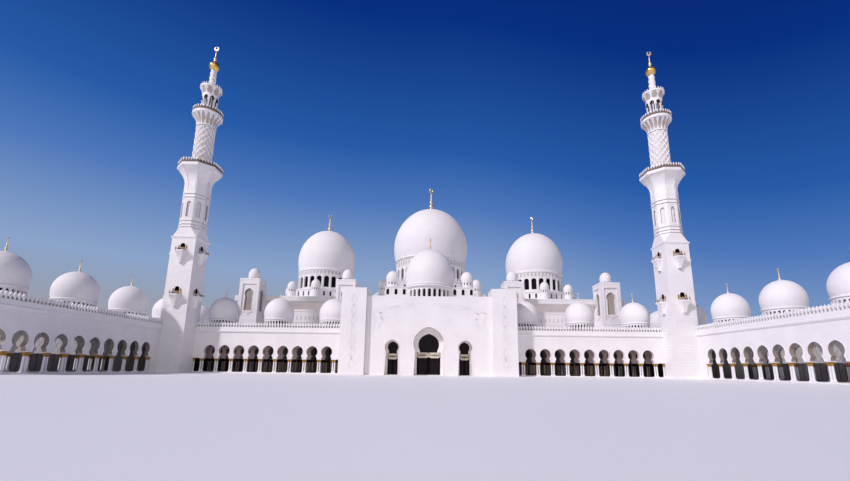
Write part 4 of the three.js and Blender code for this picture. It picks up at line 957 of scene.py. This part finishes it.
PORTAL_PLANE = -24.2
PORTAL_HALF = 18.2
PORTAL_INNER = PORTAL_HALF - GAP
PORTAL_TOP = 22.8
PORTAL_ROOF = 22.1
SLAB_FOOT = 21.5
PYLON_PLANE = -25.4
PYLON_REAR = PYLON_PLANE + 7.4
PYLON_OUTER = 25.5
DOOR_PLANE = -21.197
LEAF_PLANE = -20.727
FANLIGHT_PLANE = DOOR_PLANE + 0.4
SIDE_DOOR = 10.5
CELL_EDGE = 6.6
MAIN_ARCH = (4.2, 3.85, 4.4, 9.05, 13.85)
SMALL_ARCH = (2.05, 1.7, 2.07, 7.8, 10.03)
MAIN_LIGHT = (2.55, 3.07, 8.8, 12.1, 6.55)
SMALL_LIGHT = (1.18, 1.55, 8.0, 9.68, 6.15)
MAIN_DOOR = (3.45, 5.0)
SMALL_DOOR = (1.5, 4.5)
LEAF = [(0, 0), (0.3, -0.16), (0.7, -0.13), (1, 0), (0.7, 0.13), (0.3, 0.16)]


def leaf(x, z, length, turn):
    """A pointed leaf lying on the wall."""
    c, s = length * cos(radians(turn)), length * sin(radians(turn))
    return [(x + u * c - v * s, z + u * s + v * c) for u, v in LEAF]


def vine(points, width, leaf_length, y):
    """A stem along a line of (x, z), in shallow relief, with leaves on both sides and a few flowers."""
    line = np.array(points, float)
    ahead = np.gradient(line, axis=0)
    ahead /= np.linalg.norm(ahead, axis=1)[:, None]
    side = np.c_[-ahead[:, 1], ahead[:, 0]] * width / 2
    n = len(line)
    shape = Shape(upright([(line - side, y), (line, y - 0.05), (line + side, y)]), [grid(3, n, False)], WALLS)
    for i in range(2, n - 1, 2):
        turn = math.degrees(math.atan2(ahead[i, 1], ahead[i, 0]))
        for hand in (-1, 1):
            shape.join(drawn(leaf(*line[i], leaf_length, turn + hand * 52), y - 0.045, y, WALLS))
        if i % 8 == 4:
            for k in range(6):
                shape.join(drawn(leaf(*line[i], 0.6 * leaf_length, 60 * k), y - 0.06, y, WALLS))
    return shape


def portal_wall():
    """The front wall with its three arches, and two vines that climb on either side and meet above."""
    shape = Shape()
    for x, arch, left, right in ((-SIDE_DOOR, SMALL_ARCH, -PORTAL_INNER, -CELL_EDGE),
                                 (0.0, MAIN_ARCH, -CELL_EDGE, CELL_EDGE),
                                 (SIDE_DOOR, SMALL_ARCH, CELL_EDGE, PORTAL_INNER)):
        jamb, neck, radius, centre, apex = arch
        size = radius / MAIN_ARCH[2]
        out = 0.7 * size
        path = horseshoe(jamb, 0.0, neck, radius, centre, apex)
        outer = horseshoe(jamb + out, 0.0, neck + out, radius + out, centre, apex + 0.95 * size)
        # The arch reveals are warmer, lighter marble: painted bounce light in their shade.
        cell = pierced(path, (0.0, centre), left - x, right - x, 0, PORTAL_TOP, 0, 3.0,
                       WALLS, "portal_marble_painted_bounce", WALLS, open_foot=True)
        cell.join(band(path, 0.2 * size + 0.08, -0.07, 0, closed=False),
                  band(outer, 0.1, -0.05, 0, closed=False))
        shape.join(cell.at(place(x)))
    t = np.linspace(0, 1, 49)
    for side in (-1, 1):
        for start, end, foot, height, sway in ((16.2, 1.2, 10.8, 20.6, 0.5), (14.0, 3.4, 12.8, 19.6, 0.6)):
            x = start - (start - end) * np.clip(2 * t - 1, 0, 1) ** 1.5 + sway * np.sin(t * 16)
            shape.join(vine(np.c_[side * x, foot + (height - foot) * np.sin(t * pi / 2)], 0.2, 0.85, 0))
    shape.join(block(-PORTAL_INNER, PORTAL_INNER, -0.06, 0.4, 22.35, PORTAL_TOP, edge=0.03))
    return shape.at(place(y=PORTAL_PLANE))


def pylon():
    shape = block(PORTAL_HALF, PYLON_OUTER, PYLON_PLANE, PYLON_REAR, 0, 25.0, WALLS, 0.05)
    shape.join(block(PYLON_OUTER - 1.2, PYLON_OUTER, PYLON_REAR - 0.01, HALL_FRONT - GAP, 0, SLAB_FOOT - GAP,
                     WALLS))
    t = np.linspace(0, 1, 81)
    for k in (-0.75, 0.75):
        line = np.c_[(PORTAL_HALF + PYLON_OUTER) / 2 + k * np.sin(t * 22), 1.6 + 21.4 * t]
        shape.join(vine(line, 0.16, 0.62, PYLON_PLANE))
    return shape


def transom(half, low, high, count):
    """Pale cusped panels with dark flowers over a door, before a dark back."""
    def cusped(value, power, depth, a):
        return math.copysign(abs(value) ** power, value) * (1 - depth * cos(8 * a))

    step, middle, reach = 2 * half / count, (low + high) / 2, (high - low) / 2
    outline = [(0.5 * step * cusped(cos(a), 0.6, 0.04, a),
                middle + 0.98 * reach * cusped(sin(a), 0.8, 0.05, a))
               for a in np.arange(32) * TURN / 32]
    panel = drawn(outline, -0.12, -0.04, "transom").join(band(outline[::-1], 0.07, -0.17, -0.12, "transom"))
    for i, x in enumerate(np.linspace(-0.36, 0.36, 5)):
        for k in range(6):
            petal = leaf(x * step, middle, (0.62 - 0.5 * abs(x)) * reach, 60 * k + 30)
            panel.join(drawn(petal, -0.15 + 0.008 * (i % 2), -0.12, "soffit_shade_and_flowers"))
    return block(-half, half, -0.04, 0.1, low, high, "bronze").join(
        panel.at(*[place(step * (i + 0.5) - half) for i in range(count)]))


def fanlight(neck, radius, centre, apex, sill):
    outline = horseshoe(neck, sill, neck, radius, centre, apex)[::-1]
    return drawn(inset(outline, 0.004), 0.1, 0.14, "dark_glass").join(
        lattice(inset(outline, 0.02), 0.17 * radius, 0.03, 0.1, "lattice_bronze", 0.06),
        band(inset(outline, 0.16)[::-1], 0.16, 0.0, 0.1, "bronze"))


def door_leaf(half, top, side):
    """A panelled leaf in the plane of its hinge, with a pierced field of lattice over dark glass."""
    inner, outer = 0.025, half - 0.08
    low, high = 0.2, top - 0.05
    stile = 0.12 * (outer - inner) + 0.06
    left, right = inner + stile, outer - stile
    rails = [low, low + 0.24 * (high - low), high - 0.2 * (high - low), high - 0.16]
    shape = block(inner + 0.01, outer - 0.01, -0.02, 0.02, low + 0.01, high - 0.01, "dark_glass")
    for x0, x1 in ((inner, left), (right, outer)):
        shape.join(block(x0, x1, -0.07, 0.07, low, high, "bronze", 0.015))
    for z in rails:
        shape.join(block(left, right, -0.065, 0.065, z, z + 0.16, "bronze", 0.015))
    field = rectangle(left, right, rails[1] + 0.16, rails[2])
    for y0, y1 in ((-0.05, -0.02), (0.02, 0.05)):
        shape.join(lattice(field, 0.32, y0, y1, "lattice_bronze", 0.035))
    hinge = turned([(0, 0.153), (0.04, 0.153), (0.04, top - 0.003), (0, top - 0.003)], 16, "bronze")
    handle = turned([(0.03, 1.9), (0.035, 2.0), (0.03, 2.1), (0.035, 2.5), (0.03, 2.6)], 12, "lattice_bronze")
    shape.join(hinge.at(place(outer - 0.07)),
               handle.at(*[place(inner + stile / 2, y) for y in (-0.0522, 0.0522)]))
    return shape.at(place(flip=side < 0))


# Entrance block on the portal's roof

ENTRANCE_HALF = 14.7
ENTRANCE_FRONT = -11.0
ENTRANCE_TOP = 28.2
ENTRANCE_DOME_Y = -7.3


def entrance_block():
    light, thick = (0.95, 25.6, 27.0, 27.5), 0.7
    rear, plain = HALL_FRONT - GAP, 7.0
    levels = (PORTAL_ROOF, ENTRANCE_TOP)
    half = (rear - ENTRANCE_FRONT) / 2
    corners = rectangle(-ENTRANCE_HALF, ENTRANCE_HALF, ENTRANCE_FRONT, rear)
    front = windowed(-ENTRANCE_HALF, -plain, *levels, [-13.7, -11.0, -8.3], light, thick)
    front.join(windowed(plain, ENTRANCE_HALF, *levels, [8.3, 11.0, 13.7], light, thick),
               block(-plain, plain, 0, thick, *levels, WALLS))
    flank = windowed(-half, half, *levels, spaced(-half, half, 2.7), light, thick)
    sides = [place(side * ENTRANCE_HALF, rear - half, 0, 90 * side) for side in (-1, 1)]
    return front.at(place(y=ENTRANCE_FRONT)).join(
        flank.at(*sides),
        moulding(corners, [(0, 27.7), (0.06, 27.75), (0.1, 27.85), (0.2, 28.0), (0.22, 28.2), (0, 28.25),
                           (-7.5, 28.25)]),
        course(corners, 24.7, 25.0, 0.08),
        block(-PORTAL_INNER, PORTAL_INNER, DOOR_PLANE, PYLON_REAR + 0.1, SLAB_FOOT, PORTAL_ROOF, WALLS),
        block(-PYLON_OUTER, PYLON_OUTER, PYLON_REAR + GAP, rear, SLAB_FOOT, PORTAL_ROOF, WALLS),
        turret(28.2, 30.4).at(place(-12.5, -8.0), place(12.5, -8.0)))


def entrance_dome():
    bays, drum, foot = 28, 7.7, 28.6
    width = TURN * drum / bays
    bay = drum_bay(width, PORTAL_ROOF, foot - 0.5, (0.95, 23.6, 26.4, 27.0), 0.55)
    bay.join(block(-width / 2 - 0.2, -width / 2 + 0.2, -0.2, 0, 23.2, 27.3, edge=0.06))
    return bay.bent(drum).at(*around(bays)).join(ring(drum, 0.75, foot - 1.0, foot - 0.1, 96),
                                                 ring(drum, 0.5, foot - 0.1, foot + 0.5, 96),
                                                 dome(8.2, 13.2, foot, 36, 96))


# Minarets

MINARET = (72.85, -23.3)
MINARET_HALF = 3.55
OCTAGON = 3.79
LOWER_DECK = 62.3
LOWER_GALLERY = 6.38
UPPER_DECK = 81.5
UPPER_GALLERY = 4.5
LANTERN_TOP = 98.3
NICHE = (1.4, 0.0, 1.9, 2.6)


def balcony():
    """A bracketed balcony with a gilded rail before a dark niche; z = 0 is its floor. The niche's back is
    near-black bronze: painted shade of a doorway.
    """
    plan = [(-1.5, 0.0), (-1.15, -1.75), (1.15, -1.75), (1.5, 0.0)]
    bracket = [(-1.05, -3.4), (-0.95, -2.9), (-0.8, -2.2), (-0.6, -1.5), (-0.3, -0.85), (-0.14, -0.5),
               (0.0, -0.3), (0.08, -0.2), (0.1, 0.0), (0.0, 0.06)]
    shape = moulding(plan, bracket, closed=False)
    shape.add([(x, y, 0.05) for x, y in plan], [[(0, 1, 2, 3)]], TRIM)
    for rail in ([(0.0, 0.05), (0.0, 0.2), (-0.08, 0.2), (-0.08, 0.05)],
                 [(0.0, 0.72), (0.02, 0.78), (-0.07, 0.8), (-0.07, 0.72)]):
        shape.join(moulding(plan, rail, closed=False))
    flank = pointed(0.46, 0.05, 1.6, 2.0, 3)[::-1]
    post = turned([(0.06, 0.2), (0.09, 0.25), (0.05, 0.34), (0.065, 0.5), (0.045, 0.7), (0.045, 0.74)], 8)
    spots = [(0.35 * t - 1.5, -1.7 * t) for t in (0.04, 0.3, 0.55, 0.8)]
    spots += [(2.2 * t - 1.1, -1.7) for t in (0, 0.17, 0.33, 0.5)]
    shape.join(drawn(flank, -0.1, 0, "capital_gold").at(place(-1.08), place(1.08)),
               post.at(*[place(side * x, y) for x, y in spots for side in (-1, 1)]),
               block(-0.5, 0.5, -1.74, -1.69, 0.2, 0.72, "bronze"),
               block(-0.14, 0.14, -1.8, -1.64, 0.15, 1.0, "capital_gold", 0.04).at(place(-1), place(1)))
    niche = pointed(*NICHE)
    return shape.join(band(niche, 0.12, -0.1, 0), drawn(niche[::-1], 0.35, 0.4, "bronze"))


def minaret_base():
    """A square foot with two rows of balconies, faint joints, and chamfers up to the octagon."""
    half = MINARET_HALF
    square = rectangle(-half, half, -half, half)
    shape = Shape()
    for low, high, foot in ((0.0, 28.5, 21.8), (28.5, 39.5, 34.8)):
        niche = [(x, z + foot) for x, z in pointed(*NICHE)]
        # The niches' reveals are near-black bronze: painted shade.
        face = pierced(niche, (0.0, foot + 1.0), -half, half, low, high, 0, 0.8, WALLS, "bronze")
        shape.join(face.join(balcony().at(place(z=foot))).at(*around(4, half)))
    shape.join(moulding(square, [(0.12, 0), (0.12, 0.5), (0, 0.6)]),
               moulding(square, [(0, 38.7), (0.08, 38.75), (0.08, 39.0), (0.28, 39.25), (0.3, 39.5),
                                 (-0.15, 39.62)]))
    for z in np.arange(1.4, 20.0, 0.9):
        shape.join(course(square, z, z + 0.83, 0.035, WALLS))
    side = half * (math.sqrt(2) - 1)
    low, high = 39.5, 42.4
    chamfer = Shape([(-half, -half, low), (half, -half, low), (side, -half, high), (-side, -half, high),
                     (half, -side, high)], [[(0, 1, 2, 3)], [(1, 4, 2)]], WALLS)
    return shape.join(chamfer.at(*around(4)))


def railing(corners, z):
    """A pierced brown railing with a pale rail and a low merlon over each post."""
    return moulding(corners, [(0, z), (0, z + 1.15), (-0.08, z + 1.15), (-0.08, z)], "railing").join(
        moulding(corners, [(0.05, z), (0.06, z + 0.12), (0.0, z + 0.14)]),
        merlons([(1.008 * x, 1.008 * y) for x, y in corners], z + 0.7, 0.85, 0.7))


def minaret_octagon():
    """Eight panelled faces between rings, under the flare and the railing of the lower gallery."""
    half, low, high, steps = OCTAGON * sin(pi / 8), 42.4, 56.9, 12
    panel = pointed(1.15, 45.8, 49.9, 50.7, 6)
    face = pierced(panel, (0.0, 48.0), -half, half, low, high, 0, 0.38, WALLS, "niche_shade").join(
        drawn(panel[::-1], 0.36, 0.38, "marble_relief"),
        band(panel, 0.16, -0.08, 0),
        band([(-1.05, 45.2), (-1.05, 51.3), (1.05, 51.3), (1.05, 45.2)], 0.1, -0.06, 0),
        band(pointed(1.9, 54.6, 57.0, 58.4, 6), 0.14, -0.1, 0.05, closed=False))
    shape = face.at(*around(8, OCTAGON * cos(pi / 8)))
    # Under each ring a thin dark course: painted shadow.
    for z, reach in ((42.5, 0.2), (43.4, 0.18), (44.5, 0.14), (52.0, 0.18), (53.1, 0.2)):
        shape.join(course(polygon(OCTAGON, 8), z, z + 0.3, reach, slope=0.075),
                   course(polygon(OCTAGON, 8), z - 0.16, z, 0.012, "reveal", 0.04))
    rim = LOWER_GALLERY
    shares = [i / steps for i in range(steps + 1)]
    flare = [(OCTAGON + (6.1 - OCTAGON) * t ** 1.9, high + 4.5 * t) for t in shares]
    edge = [(rim - 0.04, 61.5), (rim, 61.7), (rim, LOWER_DECK), (rim - 0.06, LOWER_DECK),
            (2.6, LOWER_DECK + 0.02)]
    rib = [(x, -r - 0.07, z) for r, z in flare for x in (-0.09, 0.09)]
    return shape.join(turned(flare + edge, 8),
                      Shape(rib, [grid(steps + 1, 2, False)], TRIM).at(*around(8, 0, 22.5)),
                      railing(polygon(rim - 0.12, 8), LOWER_DECK))


def round_surface(radius, angles, heights):
    """Points of a surface round the vertical axis, from grids of the three values."""
    return np.stack([radius * np.cos(angles), radius * np.sin(angles), heights], axis=-1).reshape(-1, 3)


def scalloped_flare(radius, edge, low, high, bays, power=1.9, depth=0.22):
    """A flare that carries a gallery: shaded pointed hollows side by side between pale ribs."""
    sides, rows = bays * 12, 13
    a, t = np.meshgrid(np.arange(sides) * TURN / sides, np.linspace(0, 1, rows))
    across = np.abs(((a * bays / TURN) % 1) - 0.5) * 2
    arch = np.clip(1.25 - across ** 1.6 * 1.1 - np.abs(t - 0.45) * 1.5, 0, 1)
    reach = radius + (edge - radius) * t ** power - depth * np.sqrt(arch)
    points = round_surface(reach, a, low + (high - low) * t)
    faces = grid(rows, sides, True)
    shaded = (arch > 0.25).reshape(-1)[faces].mean(axis=1) > 0.6
    return Shape(points, [faces[~shaded]], TRIM).add(points, [faces[shaded]], "gallery_shade")


def minaret_shaft():
    """A round shaft wound with rope-like ribs, under the scalloped upper gallery."""
    radius, low, high = 2.85, LOWER_DECK, 77.7
    sides, rows, strands, pitch = 132, 170, 11, 2.9
    a, z = np.meshgrid(np.arange(sides) * TURN / sides, np.linspace(low + 1.0, high - 0.6, rows))
    first, second = [np.abs(np.sin((a * strands + hand * (z - low) * pitch) / 2)) for hand in (1, -1)]
    relief = np.clip(1.15 - np.minimum(first, second) * 3.2, 0, 1)
    points = round_surface(radius - 0.24 + 0.24 * relief, a, z)
    faces = grid(rows, sides, True)
    sunk = relief.reshape(-1)[faces].mean(axis=1) < 0.12
    edge, rim = UPPER_GALLERY - 0.25, UPPER_GALLERY - 0.04
    foot = [(radius + 0.3, low), (radius + 0.3, low + 0.5), (radius, low + 0.75), (radius - 0.02, low + 1.05)]
    deck = [(edge - 0.1, 80.65), (rim - 0.04, 80.8), (rim, 81.0), (rim, UPPER_DECK), (1.2, UPPER_DECK + 0.03)]
    return Shape(points, [faces[~sunk]], TRIM).add(points, [faces[sunk]], "shaft_shade").join(
        turned(foot, 64),
        ring(radius - 0.05, 0.14, high - 0.75, high - 0.3, 64),
        scalloped_flare(radius, edge, high - 0.35, high + 3.0, 16),
        turned(deck, 64),
        railing(polygon(rim - 0.12, 32), UPPER_DECK))


def minaret_lantern():
    """Eight small arches on slim columns, a scalloped crown with merlons, and a fluted neck. The arch heads
    and a sleeve round the core behind the arches are near-black: painted shade.
    """
    reach, low, spring = 2.45, 83.0, 86.5
    foot = [(2.5, UPPER_DECK + GAP), (2.5, 82.7), (2.4, 82.9), (2.3, low), (1.5, low), (1.5, 88.5)]
    post = [(0.32, low), (0.32, 83.15), (0.22, 83.3), (0.21, 86.0), (0.26, 86.1), (0.36, 86.45), (0.38, 86.6)]
    crown = [(3.05, 90.7), (3.28, 90.85), (3.3, 91.35), (3.15, 91.45), (2.95, 91.25), (1.0, 91.3)]
    width = TURN * reach / 8
    path = horseshoe(0.66, spring, 0.6, 0.66, 87.1, 87.95, 6)
    bay = pierced(path, (0.0, 87.2), -width / 2, width / 2, spring, 88.6, 0, 0.55, TRIM, "soffit_shade_and_flowers", TRIM, True)
    rows, sides = 40, 40
    a, t = np.meshgrid(np.arange(sides) * TURN / sides, np.linspace(0, 1, rows))
    neck = round_surface(1.08 - 0.22 * t + 0.1 * np.sin(3 * a + t * 26), a, 91.2 + 7.0 * t)
    return turned(foot, 48).join(
        turned([(1.52, 83.2), (1.52, 88.4), (2.2, 88.42)], 16, "bronze"),
        turned(post, 12, "marble_column").at(*around(8, 2.12, 22.5)),
        bay.bent(reach).at(*around(8)),
        scalloped_flare(reach, 3.2, 88.5, 90.8, 8, 1.6, 0.08),
        turned(crown, 48),
        merlons(polygon(3.15, 24), 91.3, 0.7, 0.55),
        Shape(neck, [grid(rows, sides, True)], TRIM),
        turned([(0.85, 98.1), (0.9, 98.2), (0.8, LANTERN_TOP), (0, LANTERN_TOP)], 24, "gilding"))


def minaret_finial():
    bulb = [(0.7, 0), (0.8, 0.1), (1.05, 0.32), (1.4, 0.8), (1.58, 1.35), (1.6, 1.65), (1.52, 2.05),
            (1.25, 2.5), (0.88, 2.85), (0.55, 3.2), (0.38, 3.6)]
    spire = [(0.38, 3.6), (0.4, 4.0), (0.5, 4.3), (0.52, 4.5), (0.42, 4.8), (0.25, 5.3), (0.17, 6.0),
             (0.14, 7.6), (0.0, 7.85)]
    moon = crescent(28, -255, 330, (0.76, 0.76, 8.46), (0.4, 0.46, 8.62), 0.12)
    shape = turned(bulb, 32, "gilding").join(turned(spire, 24, "finial_gold"), moon)
    return shape.at(place(z=LANTERN_TOP + GAP))


# The whole building: name of the piece, its shape, and the node it stands for

on_dome_line = place(y=DOME_LINE)
over_entrance = place(y=ENTRANCE_DOME_Y)
main_drum = great_drum(radius=15.4, bays=28, foot=38.0, top=48.5, light=(1.9, 38.9, 43.2, 44.4),
                       glass="grey_glass", frieze=45.4)
make("hall_cornice", hall_cornice())
make("hall_front_band", hall_front_band())
make("main_dome_lower_stage", main_dome_base().at(on_dome_line), "main_dome_base")
make("main_dome_drum", main_drum.at(on_dome_line), "main_drum")
make("main_dome_shell", great_dome(radius=16.75, rise=25.9, foot=48.5).at(on_dome_line), "main_dome")
make("main_dome_crescent", gilt_finial(height=11.5, foot=74.36).at(on_dome_line), "main_finial")
make("entrance_roof_block", entrance_block(), "entrance_block")
make("entrance_dome_shell", entrance_dome().at(over_entrance), "entrance_dome")
make("entrance_crescent", gilt_finial(height=4.4, foot=41.75).at(over_entrance), "entrance_finial")
make("portal_arches", portal_wall(), "portal_wall")
make("main_fanlight_tracery", fanlight(*MAIN_LIGHT).at(place(y=FANLIGHT_PLANE)), "main_fanlight")
make("main_transom", transom(*MAIN_DOOR, high=6.5, count=2).at(place(y=DOOR_PLANE)))

for side_name, side in SIDES:
    mirror = place(flip=side < 0)
    court_front = place(0, FRONT_PLANE, flip=side < 0)
    dome_spot = place(SIDE_DOME_X * side, DOME_LINE)
    drum = great_drum(radius=11.94, bays=24, foot=34.0, top=43.3, light=(2.1, 35.4, 39.2, 40.2),
                      glass="dark_glass", frieze=41.0)
    drum.join(great_dome(radius=12.7, rise=20.3, foot=43.3))
    foot = place(MINARET[0] * side, MINARET[1])
    door = SIDE_DOOR * side
    wall_middle = place(HALL_HALF * side, (HALL_FRONT + HALL_REAR) / 2, 0, 90 * side)
    towers = [(f"{name}_*_lantern_tower", lantern_tower().at(place(x * side, TOWER_Y)), f"{name}_*_tower")
              for name, x in TOWERS]
    pieces = [
        ("front_*_arches", front_arcade().at(court_front), "front_*_arcade"),
        ("front_*_inner_arches", front_inner_arcade().at(court_front), "front_*_inner_arcade"),
        ("front_*_domed_roof", front_roof().at(mirror), "front_*_roof"),
        ("side_*_domed_roof", along_y(side_roof(), SIDE_X, side), "side_*_roof"),
        ("side_*_arches", along_y(side_court_row(), SIDE_X, side), "side_*_arcade"),
        ("side_*_outer_arches", along_y(side_outer_row(), OUTER_X, side), "side_*_outer_arcade"),
        *towers,
        ("*_dome_octagon", side_dome_base().at(dome_spot), "*_dome_base"),
        ("*_dome_shell", drum.at(dome_spot), "*_dome"),
        ("*_dome_crescent", gilt_finial(height=8.8, foot=63.5).at(dome_spot), "*_finial"),
        ("portal_*_pylon", pylon().at(mirror), "portal_*_side"),
        ("*_fanlight_tracery", fanlight(*SMALL_LIGHT).at(place(door, FANLIGHT_PLANE)), "*_fanlight"),
        ("*_transom", transom(*SMALL_DOOR, high=6.1, count=1).at(place(door, DOOR_PLANE))),
        ("*_minaret_square", minaret_base().at(foot), "*_minaret_base"),
        ("*_minaret_gallery", minaret_octagon().at(foot), "*_minaret_octagon"),
        ("*_minaret_round", minaret_shaft().at(foot), "*_minaret_shaft"),
        ("*_minaret_crown", minaret_lantern().at(foot), "*_minaret_lantern"),
        ("*_minaret_crescent", minaret_finial().at(foot), "*_minaret_finial"),
        ("hall_*_arches", hall_side_arches().at(wall_middle)),
    ]
    for piece, shape, *replaced in pieces:
        cad_names = [cad_name.replace("*", side_name) for cad_name in replaced]
        make(piece.replace("*", side_name), shape, *cad_names)
    body = f"main_{side_name}_door"
    make(f"{body}_leaf", door_leaf(*MAIN_DOOR, side).at(place(0, LEAF_PLANE)), body, body=body)
    for hand_name, hand in SIDES:
        body = f"{side_name}_door_{hand_name}_leaf"
        make(f"{body}_panels", door_leaf(*SMALL_DOOR, hand).at(place(door, LEAF_PLANE)), body, body=body)

# Camera and light

scene = bpy.context.scene


def linked(name, data, turn=(0, 0, 0), location=(0, 0, 0)):
    """Puts the data into the scene as an object; turn is in degrees."""
    made = bpy.data.objects.new(name, data)
    made.rotation_euler = [radians(a) for a in turn]
    made.location = location
    scene.collection.objects.link(made)
    return made


camera_data = bpy.data.cameras.new("camera")
camera_data.sensor_width = 36.0
camera_data.lens = 17.49
camera_data.shift_x = -0.0068
camera_data.shift_y = 0.0506
scene.camera = linked("camera", camera_data, (90 + 11.62, -0.7, 0), (0.07, -14.4, 0.2))

for name, energy, angle, colour, turn in (("key", 2.6, 4, (1.0, 0.945, 0.995), (52, 0, -52)),
                                          ("fill", 0.6, 60, (1.0, 0.96, 0.96), (74, 0, 4))):
    light_data = bpy.data.lights.new(name, "SUN")
    light_data.energy = energy
    light_data.angle = radians(angle)
    light_data.color = colour
    linked(name, light_data, turn)

# A blue backdrop ahead, deeper to the right and upwards, and neutral light from behind the camera
world = bpy.data.worlds.new("studio")
world.use_nodes = True
sky = world.node_tree
direction = node(sky, "SeparateXYZ", {0: node(sky, "TexCoord", output="Generated")}).node.outputs
rightward = node(sky, "MapRange", {"Value": direction["X"], "From Max": 0.75},
                 interpolation_type="SMOOTHSTEP")
deepened = node(sky, "Math", {0: rightward, 1: 0.17, 2: direction["Z"]}, operation="MULTIPLY_ADD")
backdrop = ramp(sky, deepened, [(0.0, (0.34, 0.335, 0.35)), (0.1, (0.33, 0.345, 0.4)),
                                (0.21, (0.255, 0.37, 0.59)), (0.38, (0.075, 0.187, 0.49)),
                                (0.49, (0.02, 0.105, 0.39)), (0.7, (0.0025, 0.03, 0.22)),
                                (0.86, (0.002, 0.012, 0.15))])
neutral = ramp(sky, direction["Z"], [(0.0, (0.34, 0.32, 0.335)), (0.45, (0.2, 0.195, 0.225)),
                                     (1.0, (0.06, 0.07, 0.12))])
behind = node(sky, "MapRange", {"Value": direction["Y"], "From Min": 0.1, "From Max": -0.3})
sky.links.new(mix(sky, "MIX", behind, backdrop, neutral), sky.nodes["Background"].inputs["Color"])
sky.nodes["Background"].inputs["Strength"].default_value = 1.0
scene.world = world
scene.view_settings.view_transform = "Standard"

FLOOR_REACH = 150.0
FLOOR_DROP = -0.001
floor_mesh = bpy.data.meshes.new("floor")
floor_corners = rectangle(-FLOOR_REACH, FLOOR_REACH, -FLOOR_REACH, FLOOR_REACH)
floor_mesh.from_pydata([(x, y, FLOOR_DROP) for x, y in floor_corners], [], [(0, 1, 2, 3)])
floor_mesh.materials.append(new_material("floor", {"Base Color": (1.0, 0.98, 0.97, 1), "Roughness": 0.6}))
floor = linked("floor", floor_mesh)

for node_name, cad_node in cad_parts.items():
    if "finial" in node_name:
        finish = "gilding"
    elif "fanlight" in node_name:
        finish = "dark_glass"
    elif "door" in node_name and node_name != "door_wall":
        finish = "bronze"
    else:
        finish = WALLS
    cad_node.data.materials.clear()
    cad_node.data.materials.append(materials[finish])
